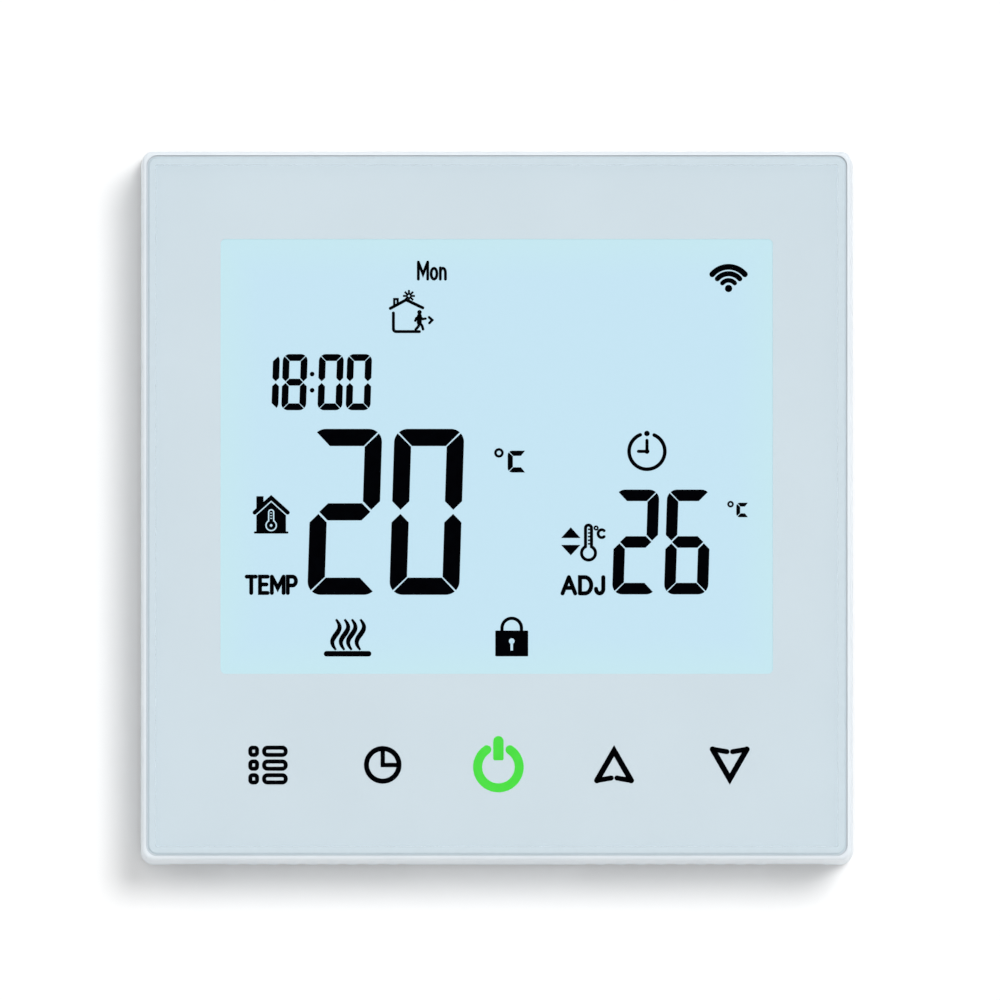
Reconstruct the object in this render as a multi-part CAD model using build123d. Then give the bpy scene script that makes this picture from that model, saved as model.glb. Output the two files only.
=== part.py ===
from build123d import *

import os
from math import cos, radians, sin, sqrt, tan, tau

# Wall thermostat: a touch face with a segment display, which clips on a power base with screw terminals.
# Millimetres. X runs right along the face, Y runs into the wall and Z runs up. The origin is midway between
# the wall screws on the wall's surface, so the face unit has negative Y and the power box has positive Y.

# Face housing
face_size = 86.0  # width and height at the wall
side_draft = 2.0  # degrees that the sides lean in towards the front
face_depth = 13.3  # from the wall to the front of the lens
face_corner = 1.6  # corner radius seen from the front
face_wall = 1.6  # side walls
inside_corner = 0.8
rim_width = 0.42  # rim seen round the lens
rim_round = 0.4  # rounding of the rim's outer edge
rim_step = 0.15  # the lens stands proud of the rim by this
wall_gap = 0.3  # the housing's rear edge stops short of the wall
deck_thick = 1.5  # shelf behind the lens
vent_count = 9
vent_width = 1.2
vent_pitch = 2.4
vent_length = 4.6  # slots in the top wall
vent_notch = 1.5  # depth of the notches in the bottom wall's rear edge
vent_offset = 21.0  # middle of each row of vents, from the middle of the face
pry_width = 7.0  # notches for a screwdriver in the bottom edge
pry_height = 1.6
pry_offset = 36.0
boss_radius = 2.0  # posts that take the control board's screws
boss_web = 1.0  # webs from the posts to the walls

# Lens and its printed film
lens_gap = 0.2
lens_thick = 1.2
lens_corner = 1.1
lens_chamfer = 0.22
film_glue = 0.02  # clear glue between the lens and its film
mask_thick = 0.13
mask_inset = 0.1

# Display window, from the edges of the face
window_side = 9.8
window_top = 10.9
window_bottom = 22.8
window_corner = 0.6

# Display
glass_border = 1.3  # glass hidden behind the printed film on each side
glass_thick = 1.1  # each of the two sheets
polariser_border = 0.8
polariser_thick = 0.2
pin_ledge = 2.8  # rear sheet stands out past the front sheet, for the pins
pin_pitch = 2.3
pin_width = 0.5
pin_thick = 0.22
pin_clip_gap = 0.6  # from the clips to the front sheet
pin_end = 3.5  # from the glass's sides to the end pins
display_gap = 0.05  # air between the printed film and the display

# Backlight
diffuser_thick = 0.25
guide_border = 0.7  # past the window on each side
guide_thick = 2.4
groove_pitch = 5.6
groove_size = 0.3
reflector_thick = 0.15
tray_floor = 0.6
tray_wall = 1.2
tray_slip = 0.2  # play of the films, the guide and the glass
backlight_count = 3
backlight_width = 1.2
backlight_length = 3.0
backlight_height = 1.5
backlight_pitch = 16.0

# Touch keys
key_count = 5
key_pitch = 13.9
key_up = 11.85  # row of keys above the bottom of the face
key_hole = 8.4  # diameter
key_collar = 0.9  # wall of the light well round each key
key_lamp_length = 1.6
key_lamp_width = 0.9
key_lamp_height = 0.7
spring_wire = 0.6
spring_radius = 3.0  # to the middle of the wire
spring_turns = 3
wire_sides = 6

# Control board
board_thick = 1.2
board_corner = 1.0
board_side_gap = 0.7  # to the catches
board_end_gap = 1.1  # to the housing's walls
board_screw_inset = 2.0  # from the board's edges
wifi_width = 13.0
wifi_height = 22.0
wifi_thick = 0.6
wifi_drop = 18.3  # from the board's top edge to the module's middle
wifi_inset = 0.3
wifi_pads = 9  # along each side
wifi_pad_pitch = 2.0
wifi_pad_radius = 0.45
shield_width = 10.6
shield_height = 13.0
shield_rise = 1.7
shield_corner = 0.6
shield_round = 0.35
chip_size = 7.0
chip_rise = 1.4
chip_edge = 0.3
chip_inset = 19.5  # from the board's right edge
chip_drop = 18.3  # from the board's top edge
lead_count = 8  # along each side
lead_pitch = 0.8
lead_width = 0.4
lead_reach = 1.1
lead_thick = 0.3
touch_chip_length = 9.9
touch_chip_width = 3.9
touch_chip_inset = 24.5
touch_chip_lift = 7.3  # above the board's bottom edge
crystal_radius = 1.0
crystal_length = 6.0
crystal_inset = 32.5
crystal_drop = 16.3
resistor_length = 1.6
resistor_width = 0.8
resistor_rise = 0.5
resistor_pitch = 3.4
resistor_rows = 3
resistor_columns = 6
resistor_inset = 9.5
resistor_lift = 17.5
sensor_bead = 1.1  # radius
sensor_lead = 0.25  # radius
sensor_spread = 1.2  # between the leads
sensor_gap = 1.1  # from the bead to the housing's bottom wall

# Plug between the two halves
plug_ways = 8
plug_pitch = 2.54
plug_width = 2.5
socket_height = 8.5
socket_floor = 1.2
socket_slip = 0.1  # round each pin
header_height = 2.5
header_pin = 0.64
header_point = 0.16
header_tail = 1.2  # behind the power board
plug_end_gap = 0.1  # from the socket to the header

# Wall plate
plate_gap = 1.4  # to the housing's walls
plate_thick = 1.0
plate_corner = 3.0
plate_clearance = 0.4  # round the power box
wall_screw_pitch = 60.0
wall_slot_width = 4.2
wall_slot_length = 8.0
bead_rise = 0.5  # pressed ribs that stiffen the plate
bead_width = 3.2
bead_inset = 3.2  # from the plate's edges to the middle of the ribs
bead_long = 52.0  # along the top and bottom
bead_short = 24.0  # along the sides
catch_rise = 6.2
catch_width = 8.0
catch_thick = 0.8
catch_tip = 1.6  # rounding
catch_window_width = 4.6
catch_window_height = 2.4
catch_offset = 20.0
catch_bite = 0.6  # how far the housing's wedges enter the windows
catch_play = 0.2

# Power box
box_wall = 1.6
box_edge = 1.5  # rounding of the box's upright edges
box_round = 0.8  # rounding of its rear edges
flange_reach = 2.5  # past the box walls
flange_land = 0.2  # flat under each countersunk head
flange_chamfer = 3.0
flange_edge = 0.4
flange_screw_inset = 3.7  # from the flange's edges
cover_thick = 1.6
cover_slip = 0.15
cover_recess = 1.4  # cover's front, behind the flange's front
cover_vents = 4
ledge_width = 1.2  # step on the corner lugs that the power board rests on
box_vents = 5
box_vent_width = 1.4
box_vent_pitch = 3.0
box_vent_length = 9.0

# Power board and its components
power_board_thick = 1.6
board_edge = 1.55  # from the components to the side walls
board_top_edge = 5.2  # from the components to the top wall
headroom = 0.5  # between components
relay_width = 19.0
relay_depth = 15.4
relay_height = 15.3
relay_round = 0.8
relay_edge = 0.4
core_width = 13.4
core_depth = 6.0
core_height = 12.6
core_leg = 2.2
core_middle_leg = 4.4
core_yoke = 2.0
core_slip = 0.1
winding_depth = 12.4
winding_round = 2.0
bobbin_flange = 1.0
bulk_radius = 4.0
bulk_height = 12.5
output_radius = 3.15
output_height = 9.0
can_crimp = 0.5
can_top = 0.4
film_cap_width = 13.0
film_cap_depth = 5.0
film_cap_height = 11.0
film_cap_round = 0.5
varistor_radius = 4.6
varistor_thick = 3.8
varistor_round = 0.9
varistor_foot = 1.2
fuse_width = 8.4
fuse_depth = 4.0
fuse_height = 7.8
fuse_round = 0.5
small_chip_width = 4.8
small_chip_depth = 4.0
small_chip_rise = 1.5
small_chip_spread = 19.0  # between the rectifier and the supply chip
small_chip_down = 6.0

# Screw terminals. Heights are above the power board's rear face.
terminal_count = 6
terminal_pitch = 5.0
terminal_end_wall = 0.5
terminal_length = 9.6  # along Z
terminal_slip = 0.1
terminal_ceiling = 0.8  # under the screw heads
terminal_screw_radius = 1.25
terminal_head_radius = 1.8
terminal_head_height = 1.6
terminal_head_sink = 0.6
terminal_head_edge = 0.25
driver_slot = 0.6
driver_slot_depth = 0.8
entry_wall = 1.2
wire_room = 3.0  # gap for a wire with the clamp open
clamp_width = 4.0
clamp_length = 4.0
clamp_side = 0.6
clamp_floor = 0.7
clamp_nut = 1.2
clamp_travel = 2.6
clamp_rest = 0.6  # open clamp above the power board
contact_thick = 0.8
contact_tail = 1.0  # through the power board
access_slip = 0.3  # round the wire entries and screw heads in the power box

# Small fasteners
screw_radius = 1.0
screw_head_radius = 1.9
screw_head_height = 1.2
screw_dome = 0.5
screw_point = 0.5
screw_length = 3.6
flat_screw_radius = 1.25
flat_head_radius = 2.2
flat_head_height = 1.0
cross_length = 2.0
cross_width = 0.45
cross_depth = 0.6
thread_gap = 0.04
seat_gap = 0.2


def spread(count, pitch):
    """Places along a row, centred on zero."""
    return [pitch * (i - (count - 1) / 2) for i in range(count)]


# Depths of the face unit, from the lens to the control board
lens_front = -face_depth
lens_back = lens_front + lens_thick
mask_front = lens_back + film_glue
mask_back = mask_front + mask_thick
deck_back = mask_back + deck_thick
rim_front = lens_front + rim_step
housing_back = -wall_gap
display_front = mask_back + display_gap
front_glass_front = display_front + polariser_thick
rear_glass_front = front_glass_front + glass_thick
rear_glass_back = rear_glass_front + glass_thick
diffuser_front = rear_glass_back + polariser_thick
guide_front = diffuser_front + diffuser_thick
guide_back = guide_front + guide_thick
tray_inside = guide_back + reflector_thick
board_front = tray_inside + tray_floor
board_back = board_front + board_thick

# Depths of the base
plate_front = -plate_thick
flange_front = plate_front - flat_head_height - flange_land
cover_front = flange_front + cover_recess
cover_back = cover_front + cover_thick
socket_back = board_back + socket_height
header_front = socket_back + plug_end_gap
power_front = header_front + header_height
power_back = power_front + power_board_thick
box_inside = power_back + relay_height + headroom
box_back = box_inside + box_wall

# Heights and widths in a terminal
contact_low = clamp_rest + clamp_floor + wire_room
contact_high = contact_low + contact_thick
clamp_height = clamp_floor + wire_room + contact_thick + terminal_slip + clamp_nut
pocket_high = clamp_rest + clamp_height + clamp_travel + seat_gap
head_seat = pocket_high + terminal_ceiling
block_back = power_back + head_seat + terminal_head_height + terminal_head_sink
step_inside = block_back + seat_gap
step_back = step_inside + box_wall
wire_width = clamp_width - 2 * clamp_side
contact_width = wire_width - 2 * terminal_slip
entry_y = power_back + contact_low - wire_room / 2

# Places across the face
corners = [(i, j) for i in (-1, 1) for j in (-1, 1)]
inside_half = face_size / 2 - face_wall
face_front = face_size - 2 * (housing_back - rim_front) * tan(radians(side_draft))
lens_size = face_front - 2 * (rim_width + lens_gap)
window_width = face_size - 2 * window_side
window_height = face_size - window_top - window_bottom
window_z = (window_bottom - window_top) / 2
glass_width = window_width + 2 * glass_border
glass_low = window_z - window_height / 2 - glass_border
glass_high = window_z + window_height / 2 + glass_border
glass_top = glass_high + pin_ledge
pin_count = int((glass_width - 2 * pin_end) / pin_pitch) + 1
pin_places = [(x, glass_top + pin_thick / 2) for x in spread(pin_count, pin_pitch)]
guide_width = window_width + 2 * guide_border
guide_height = window_height + 2 * guide_border
key_places = [(x, key_up - face_size / 2) for x in spread(key_count, key_pitch)]
plate_size = 2 * (inside_half - plate_gap)
board_width = plate_size - 2 * (catch_thick + board_side_gap)
board_height = 2 * (inside_half - board_end_gap)
board_right = board_width / 2
board_top = board_height / 2
board_screw_x = board_right - board_screw_inset
board_screw_z = board_top - board_screw_inset
board_screw_places = [(i * board_screw_x, j * board_screw_z) for i, j in corners]
wifi_x = -board_right + wifi_inset + wifi_width / 2
wifi_z = board_top - wifi_drop

# Size of the power box, from its contents: three components side by side, and rows from the terminals up
block_width = terminal_count * terminal_pitch + 2 * terminal_end_wall
box_width = relay_width + 2 * output_radius + core_width + 4 * headroom + 2 * (box_wall + board_edge)
rows_height = relay_depth + header_pin + film_cap_depth + fuse_depth + 4 * headroom
box_height = 3 * box_wall + 2 * seat_gap + terminal_length + rows_height + board_top_edge
box_side = box_width / 2
box_top = box_height / 2
box_cut = box_side - box_wall * (sqrt(2) - 1) - block_width / 2  # the terminal block fits between the corners
inner_line = box_side + box_top - box_cut - box_wall * sqrt(2)  # x + z along the inner corners
lug_width = 2 * (screw_head_radius + seat_gap)
lug_line = inner_line - lug_width * sqrt(2)
ledge_line = lug_line - ledge_width * sqrt(2)
lug_middle = box_cut / 2 + (box_wall + lug_width / 2) / sqrt(2)  # from the box's sides to the cover's screws
cover_screw_places = [(i * (box_side - lug_middle), j * (box_top - lug_middle)) for i, j in corners]
flange_width = box_width + 2 * flange_reach
flange_height = box_height + 2 * flange_reach
flange_screw_x = flange_width / 2 - flange_screw_inset
flange_screw_z = flange_height / 2 - flange_screw_inset
flange_screw_places = [(i * flange_screw_x, j * flange_screw_z) for i, j in corners]

# Places in the power box, from the terminals up
entry_face = -box_top + box_wall + seat_gap
block_top = entry_face + terminal_length
step_z = block_top + seat_gap
room_low = step_z + box_wall
clamp_z = entry_face + entry_wall + terminal_slip + clamp_length / 2
tail_low = clamp_z + clamp_length / 2 + 2 * terminal_slip
tail_high = tail_low + contact_thick
terminal_xs = spread(terminal_count, terminal_pitch)
terminal_places = [(x, clamp_z) for x in terminal_xs]
tail_places = [(x, (tail_low + tail_high) / 2) for x in terminal_xs]
relay_x = -box_side + box_wall + board_edge + relay_width / 2
relay_z = room_low + headroom + relay_depth / 2
core_x = box_side - box_wall - board_edge - core_width / 2
core_z = room_low + headroom + winding_depth / 2
output_x = relay_x + relay_width / 2 + 2 * headroom + output_radius
plug_z = relay_z + relay_depth / 2 + headroom + header_pin / 2
plug_places = [(x, plug_z) for x in spread(plug_ways, plug_pitch)]
film_cap_z = plug_z + header_pin / 2 + headroom + film_cap_depth / 2
top_row = film_cap_z + film_cap_depth / 2 + headroom
bulk_z = core_z + winding_depth / 2 + headroom + bulk_radius


def slab(outline, y_front, y_back):
    """Solid of an outline drawn in X and Z, between two depths."""
    return extrude(Plane.XZ.offset(-y_back) * outline, y_back - y_front)


def turned(profile, x, z):
    """Solid turned about a line along Y, from (radius, depth) points."""
    face = make_face(Polyline(*profile, close=True))
    return Pos(x, 0, z) * revolve(face, Axis.Y)


def many(outline, places):
    """One sketch of an outline repeated at places."""
    return Sketch() + [Pos(x, z) * outline for x, z in places]


def row(outline, count, pitch, middle):
    """One sketch of an outline repeated along the sketch's first direction."""
    first, second = middle
    return many(outline, [(first + step, second) for step in spread(count, pitch)])


def octagon(width, height, cut):
    """Rectangle with its corners cut off at 45 degrees."""
    return chamfer(Rectangle(width, height).vertices(), cut)


def box_outline(grow):
    """Outline of the power box moved out by a distance, or in where the distance is negative."""
    return octagon(box_width + 2 * grow, box_height + 2 * grow, box_cut + grow * (2 - sqrt(2)))


def beyond(line):
    """Corners of the power box's room past a 45 degree line, where x + z is the given value."""
    return box_outline(-box_wall) - octagon(box_width, box_height, box_side + box_top - line)


def front_face(solid):
    """Face of a solid nearest the room."""
    return solid.faces().sort_by(Axis.Y)[0]


def rear_face(solid):
    """Face of a solid furthest into the wall."""
    return solid.faces().sort_by(Axis.Y)[-1]


def cross_recess(x, z, y_front, y_back):
    """Cross recess of a screw head."""
    bar = Rectangle(cross_length, cross_width)
    return slab(Pos(x, z) * (bar + Rot(0, 0, 90) * bar), y_front, y_back)


def pan_screw(x, z, seat, facing):
    """Pan-head screw along Y. The head faces the wall where facing is 1, and the room where it is -1."""
    top = seat + facing * screw_head_height
    tip = seat - facing * screw_length
    profile = [
        (0, tip),
        (screw_radius - screw_point, tip),
        (screw_radius, tip + facing * screw_point),
        (screw_radius, seat),
        (screw_head_radius, seat),
        (screw_head_radius, top - facing * screw_dome),
        (screw_head_radius - screw_dome, top),
        (0, top),
    ]
    recess = sorted((top, top - facing * cross_depth))
    return turned(profile, x, z) - cross_recess(x, z, *recess)


def flat_head(x, z, room, end):
    """Countersunk screw with its head flush with the flange, or the space for one with room round it."""
    radius = flat_screw_radius + room
    head = flat_head_radius + room
    neck = flange_front + flat_head_height
    return turned([(0, flange_front), (head, flange_front), (radius, neck), (radius, end), (0, end)], x, z)


# Face unit


def face_lens():
    """Clear plate that fills the front, with a fine chamfer round its face."""
    lens = slab(RectangleRounded(lens_size, lens_size, lens_corner), lens_front, lens_back)
    return chamfer(front_face(lens).edges(), lens_chamfer)


def face_mask():
    """Printed film behind the lens, open at the display."""
    size = lens_size - 2 * mask_inset
    window = Pos(0, window_z) * RectangleRounded(window_width, window_height, window_corner)
    return slab(RectangleRounded(size, size, lens_corner) - window, mask_front, mask_back)


def catch_wedge(side, z):
    """Wedge inside a side wall of the housing that snaps into the window of a catch."""
    lock = plate_front - (catch_rise + catch_window_height) / 2 + catch_play
    end = lock + catch_window_height - 2 * catch_play
    tip = plate_size / 2 - catch_bite
    profile = [(inside_half, lock), (tip, lock + catch_play), (tip, (lock + end) / 2), (inside_half, end)]
    half_width = catch_window_width / 2 - catch_play
    wedge = extrude(make_face(Polyline(*profile, close=True)), half_width, both=True)
    placed = Pos(0, 0, z) * wedge
    return placed if side > 0 else mirror(placed, Plane.YZ)


def board_posts():
    """Posts for the control board's screws, with webs to the nearest walls."""
    outline = many(Circle(boss_radius), board_screw_places)
    reach_x = inside_half - board_screw_x
    reach_z = inside_half - board_screw_z
    for i, j in corners:
        outline += Pos(i * (board_screw_x + reach_x / 2), j * board_screw_z) * Rectangle(reach_x, boss_web)
        outline += Pos(i * board_screw_x, j * (board_screw_z + reach_z / 2)) * Rectangle(boss_web, reach_z)
    outline -= many(Circle(screw_radius + thread_gap), board_screw_places)
    return slab(outline, deck_back, board_front)


def light_wells():
    """Collars on the deck that keep each key's light to its own sign."""
    outline = many(Circle(key_hole / 2 + key_collar), key_places) - many(Circle(key_hole / 2), key_places)
    return slab(outline, deck_back, board_front - seat_gap)


def front_housing():
    """Moulded frame: a rim round the lens, a deck behind it, and side walls with vents and pry notches."""
    outline = Plane.XZ.offset(-housing_back) * RectangleRounded(face_size, face_size, face_corner)
    shell = extrude(outline, housing_back - rim_front, taper=side_draft)
    shell = fillet(front_face(shell).edges(), rim_round)
    pocket = lens_size + 2 * lens_gap
    shell -= slab(RectangleRounded(pocket, pocket, lens_corner + lens_gap), rim_front, mask_back)
    shell -= slab(RectangleRounded(2 * inside_half, 2 * inside_half, inside_corner), deck_back, housing_back)
    display_top = glass_top + pin_thick + tray_slip
    display_low = glass_low - tray_slip
    opening = Rectangle(glass_width + 2 * tray_slip, display_top - display_low)
    shell -= slab(Pos(0, (display_top + display_low) / 2) * opening, mask_back, deck_back)
    shell -= slab(many(Circle(key_hole / 2), key_places), mask_back, deck_back)

    vent = SlotOverall(vent_length, vent_width, rotation=90)
    vent_y = (deck_back + housing_back) / 2
    for side in (-1, 1):
        vents = row(vent, vent_count, vent_pitch, (side * vent_offset, vent_y))
        shell -= extrude(vents, face_size)
        edge = Rectangle(vent_width, 2 * vent_notch)
        notches = row(edge, vent_count, vent_pitch, (side * vent_offset, housing_back))
        notches += Pos(side * pry_offset, housing_back) * Rectangle(pry_width, 2 * pry_height)
        shell -= extrude(notches, -face_size)
        for z in (-catch_offset, catch_offset):
            shell += catch_wedge(side, z)
    return shell + board_posts() + light_wells()


def display_sheet(border, y_front, thick):
    """Sheet of the display, past the window by a border all round."""
    outline = Rectangle(window_width + 2 * border, window_height + 2 * border)
    return slab(Pos(0, window_z) * outline, y_front, y_front + thick)


def lcd_cell():
    """Two bonded glass sheets. The rear one stands out at the top, to carry the pins."""
    front = display_sheet(glass_border, front_glass_front, glass_thick)
    rear = Pos(0, (glass_low + glass_top) / 2) * Rectangle(glass_width, glass_top - glass_low)
    return front + slab(rear, rear_glass_front, rear_glass_back)


def lcd_pins():
    """Clip pins along the top of the glass, with legs into the control board."""
    clip = pin_ledge - pin_clip_gap
    arm_front = rear_glass_front - pin_thick
    arms = many(Rectangle(pin_width, clip + pin_thick), [(x, z - clip / 2) for x, z in pin_places])
    legs = many(Rectangle(pin_width, pin_thick), pin_places)
    return slab(arms, arm_front, rear_glass_front) + slab(legs, arm_front, board_back)


def guide_sheet(y_front, thick):
    """Sheet that lies in the tray, short on the left to leave room for the lamps."""
    lamp_room = backlight_width + tray_slip
    outline = Rectangle(guide_width - 2 * tray_slip - lamp_room, guide_height - 2 * tray_slip)
    return slab(Pos(lamp_room / 2, window_z) * outline, y_front, y_front + thick)


def light_guide():
    """Clear guide, with grooves across its rear face that turn the lamps' light to the room."""
    count = int(guide_width / groove_pitch)
    grooves = row(Rectangle(groove_size, 2 * guide_height), count, groove_pitch, (0, window_z))
    return guide_sheet(guide_front, guide_thick) - slab(grooves, guide_back - groove_size, guide_back)


def backlight_tray():
    """Moulded tray that holds the guide and films and carries the glass, notched round the board's posts."""
    inner_width = glass_width + 2 * tray_slip
    glass_rest = glass_low - tray_slip
    low = glass_rest - tray_wall
    outline = Pos(0, (low + glass_top) / 2) * Rectangle(inner_width + 2 * tray_wall, glass_top - low)
    outline -= many(Circle(boss_radius + seat_gap), board_screw_places)
    glass_room = Pos(0, (glass_rest + glass_top) / 2) * Rectangle(inner_width, glass_top - glass_rest)
    guide_room = Pos(0, window_z) * Rectangle(guide_width, guide_height)
    tray = slab(outline, deck_back, board_front) - slab(glass_room, deck_back, rear_glass_back)
    return tray - slab(guide_room, rear_glass_back, tray_inside)


def backlight_lamps():
    """Lamps that shine into the left edge of the light guide."""
    x = -guide_width / 2 + tray_slip + backlight_width / 2
    places = [(x, window_z + step) for step in spread(backlight_count, backlight_pitch)]
    lamps = many(Rectangle(backlight_width, backlight_length), places)
    return slab(lamps, tray_inside - backlight_height, tray_inside)


def main_board():
    """Control board, with holes for its screws and for the display's pins."""
    outline = RectangleRounded(board_width, board_height, board_corner)
    outline -= many(Circle(screw_radius + seat_gap), board_screw_places)
    outline -= many(Rectangle(pin_width + 2 * thread_gap, pin_thick + 2 * thread_gap), pin_places)
    return slab(outline, board_front, board_back)


def helix_point(start, rise, turn):
    """Point of a key spring's helix about Y, and its direction, after a number of turns."""
    angle = tau * turn
    point = Vector(spring_radius * cos(angle), start - rise * turn, spring_radius * sin(angle))
    ahead = Vector(-tau * spring_radius * sin(angle), -rise, tau * spring_radius * cos(angle))
    return point, ahead.normalized()


def helix_path(start, rise):
    """Helix drawn as two tangent arcs for each quarter turn."""
    arcs = []
    for i in range(4 * spring_turns):
        point, ahead = helix_point(start, rise, i / 4)
        next_point, next_ahead = helix_point(start, rise, (i + 1) / 4)
        chord = next_point - point
        along = chord.dot(ahead + next_ahead)
        bend = 2 * (1 - ahead.dot(next_ahead))
        reach = (sqrt(along * along + bend * chord.dot(chord)) - along) / bend
        first = point + ahead * reach
        second = next_point - next_ahead * reach
        middle = (first + second) * 0.5
        arcs.append(TangentArc(point, middle, tangent=ahead))
        arcs.append(TangentArc(middle, next_point, tangent=second - first))
    return Wire(arcs)


def touch_springs():
    """Coil springs that carry each touch sign's signal from the film to the control board."""
    start = board_front - spring_wire / 2
    rise = (start - mask_back - spring_wire / 2) / spring_turns
    point, ahead = helix_point(start, rise, 0)
    section = Plane(origin=point, x_dir=(1, 0, 0), z_dir=ahead) * RegularPolygon(spring_wire / 2, wire_sides)
    coil = sweep(section, helix_path(start, rise))
    half_turn = 24
    steps = 2 * half_turn * spring_turns
    line = [helix_point(start, rise, spring_turns * i / steps)[0] for i in range(steps + 1)]
    gaps = [(line[i] - line[k]).length for i in range(steps) for k in range(i + half_turn, steps + 1)]
    print(f"touch spring: least gap to itself {min(gaps) - spring_wire:.2f} mm")
    return Compound([Pos(x, 0, z) * coil for x, z in key_places])


def key_lamps():
    """Lamps under the touch signs, inside the springs."""
    lamp = Rectangle(key_lamp_length, key_lamp_width)
    return slab(many(lamp, key_places), board_front - key_lamp_height, board_front)


def controller_chip():
    """Square chip on the rear of the control board, with leads on four sides."""
    body = slab(Rectangle(chip_size, chip_size), board_back, board_back + chip_rise)
    body = chamfer(rear_face(body).edges(), chip_edge)
    leads = row(Rectangle(lead_width, chip_size + 2 * lead_reach), lead_count, lead_pitch, (0, 0))
    body += slab(leads + Rot(0, 0, 90) * leads, board_back, board_back + lead_thick)
    return Pos(board_right - chip_inset, 0, board_top - chip_drop) * body


def touch_chip():
    """Long chip on the rear of the control board, behind the keys."""
    place = Pos(board_right - touch_chip_inset, touch_chip_lift - board_top)
    outline = place * Rectangle(touch_chip_length, touch_chip_width)
    chip = slab(outline, board_back, board_back + small_chip_rise)
    return chamfer(rear_face(chip).edges(), chip_edge)


def wifi_board():
    """Radio module's own board, with half-round solder pads along both sides."""
    outline = Rectangle(wifi_width, wifi_height)
    for side in (-wifi_width / 2, wifi_width / 2):
        outline -= many(Circle(wifi_pad_radius), [(side, z) for z in spread(wifi_pads, wifi_pad_pitch)])
    return slab(Pos(wifi_x, wifi_z) * outline, board_back, board_back + wifi_thick)


def wifi_shield():
    """Pressed can over the radio, at the lower end of its board, with rounded edges."""
    low = board_back + wifi_thick
    z = wifi_z - (wifi_height - shield_height) / 2 + seat_gap
    outline = Pos(wifi_x, z) * RectangleRounded(shield_width, shield_height, shield_corner)
    can = slab(outline, low, low + shield_rise)
    return fillet(rear_face(can).edges(), shield_round)


def clock_crystal():
    """Watch crystal that lies on the rear of the control board."""
    can = Cylinder(crystal_radius, crystal_length, rotation=(0, 90, 0))
    return Pos(board_right - crystal_inset, board_back + crystal_radius, board_top - crystal_drop) * can


def board_resistors():
    """Chip resistors in rows on the rear of the control board."""
    places = [
        (board_right - resistor_inset - resistor_pitch * i, resistor_lift - board_top + resistor_pitch * k)
        for i in range(resistor_columns)
        for k in range(resistor_rows)
    ]
    resistors = many(Rectangle(resistor_length, resistor_width), places)
    return slab(resistors, board_back, board_back + resistor_rise)


def room_sensor():
    """Thermistor bead that stands on its two leads over the bottom vents."""
    y = (deck_back + board_front) / 2
    z = -(inside_half - sensor_gap - sensor_bead)
    bead = Pos(vent_offset, y, z) * Sphere(sensor_bead)
    return bead + slab(row(Circle(sensor_lead), 2, sensor_spread, (vent_offset, z)), y, board_front)


def plug_strip(y_front, y_back, hole, hole_front):
    """Moulded strip of the plug with a square hole for each pin."""
    strip = slab(Pos(0, plug_z) * Rectangle(plug_ways * plug_pitch, plug_width), y_front, y_back)
    return strip - slab(many(Rectangle(hole, hole), plug_places), hole_front, y_back)


def front_socket():
    """Socket strip on the rear of the control board, which takes the base's pins."""
    return plug_strip(board_back, socket_back, header_pin + 2 * socket_slip, board_back + socket_floor)


def board_screws():
    """Screws that hold the control board to the housing."""
    return Compound([pan_screw(x, z, board_back, 1) for x, z in board_screw_places])


# Wall plate and power box


def plate_beads(shrink):
    """Outlines of the plate's pressed ribs, or of their hollow rear where they are shrunk."""
    place = plate_size / 2 - bead_inset
    width = bead_width - 2 * shrink
    flat = SlotOverall(bead_long - 2 * shrink, width)
    upright = SlotOverall(bead_short - 2 * shrink, width, rotation=90)
    return many(flat, [(0, -place), (0, place)]) + many(upright, [(-place, 0), (place, 0)])


def mounting_plate():
    """Pressed steel plate with slots for the wall screws, an opening for the power box and tapped holes."""
    outline = RectangleRounded(plate_size, plate_size, plate_corner) - box_outline(plate_clearance)
    half = wall_screw_pitch / 2
    outline -= many(SlotOverall(wall_slot_length, wall_slot_width), [(-half, 0), (half, 0)])
    outline -= many(SlotOverall(wall_slot_length, wall_slot_width, rotation=90), [(0, -half), (0, half)])
    outline -= many(Circle(flat_screw_radius + thread_gap), flange_screw_places)
    plate = slab(outline, plate_front, 0)
    ribs = slab(plate_beads(0), plate_front - bead_rise, plate_front)
    ribs = chamfer(ribs.faces().group_by(Axis.Y)[0].edges(), bead_rise / 2)
    return plate + ribs - slab(plate_beads(bead_rise), -bead_rise, 0)


def plate_catches():
    """Spring tongues that stand up from the plate's sides, with windows for the housing's wedges."""
    blade = Rectangle(catch_rise, catch_width)
    blade = fillet(blade.vertices().group_by(Axis.X)[0], catch_tip)
    blade -= Rectangle(catch_window_height, catch_window_width)
    tongues = []
    for z in (-catch_offset, catch_offset):
        placed = Pos(plate_front - catch_rise / 2, z) * blade
        for x in (-plate_size / 2, plate_size / 2 - catch_thick):
            tongues.append(extrude(Plane.YZ.offset(x) * placed, catch_thick))
    return Compound(tongues)


def box_shell():
    """Outer form of the power box: a deep part for the relay and a step behind the terminals."""
    outline = fillet(box_outline(0).vertices(), box_edge)
    above_step = Pos(0, step_z + box_height / 2) * Rectangle(2 * box_width, box_height)
    low_part = slab(outline, flange_front, step_back)
    deep_part = slab(outline & above_step, flange_front, box_back)
    low_part = fillet(rear_face(low_part).edges(), box_round)
    deep_part = fillet(rear_face(deep_part).edges(), box_round)
    flange = slab(octagon(flange_width, flange_height, flange_chamfer), flange_front, plate_front)
    return low_part + deep_part + chamfer(front_face(flange).edges(), flange_edge)


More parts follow.
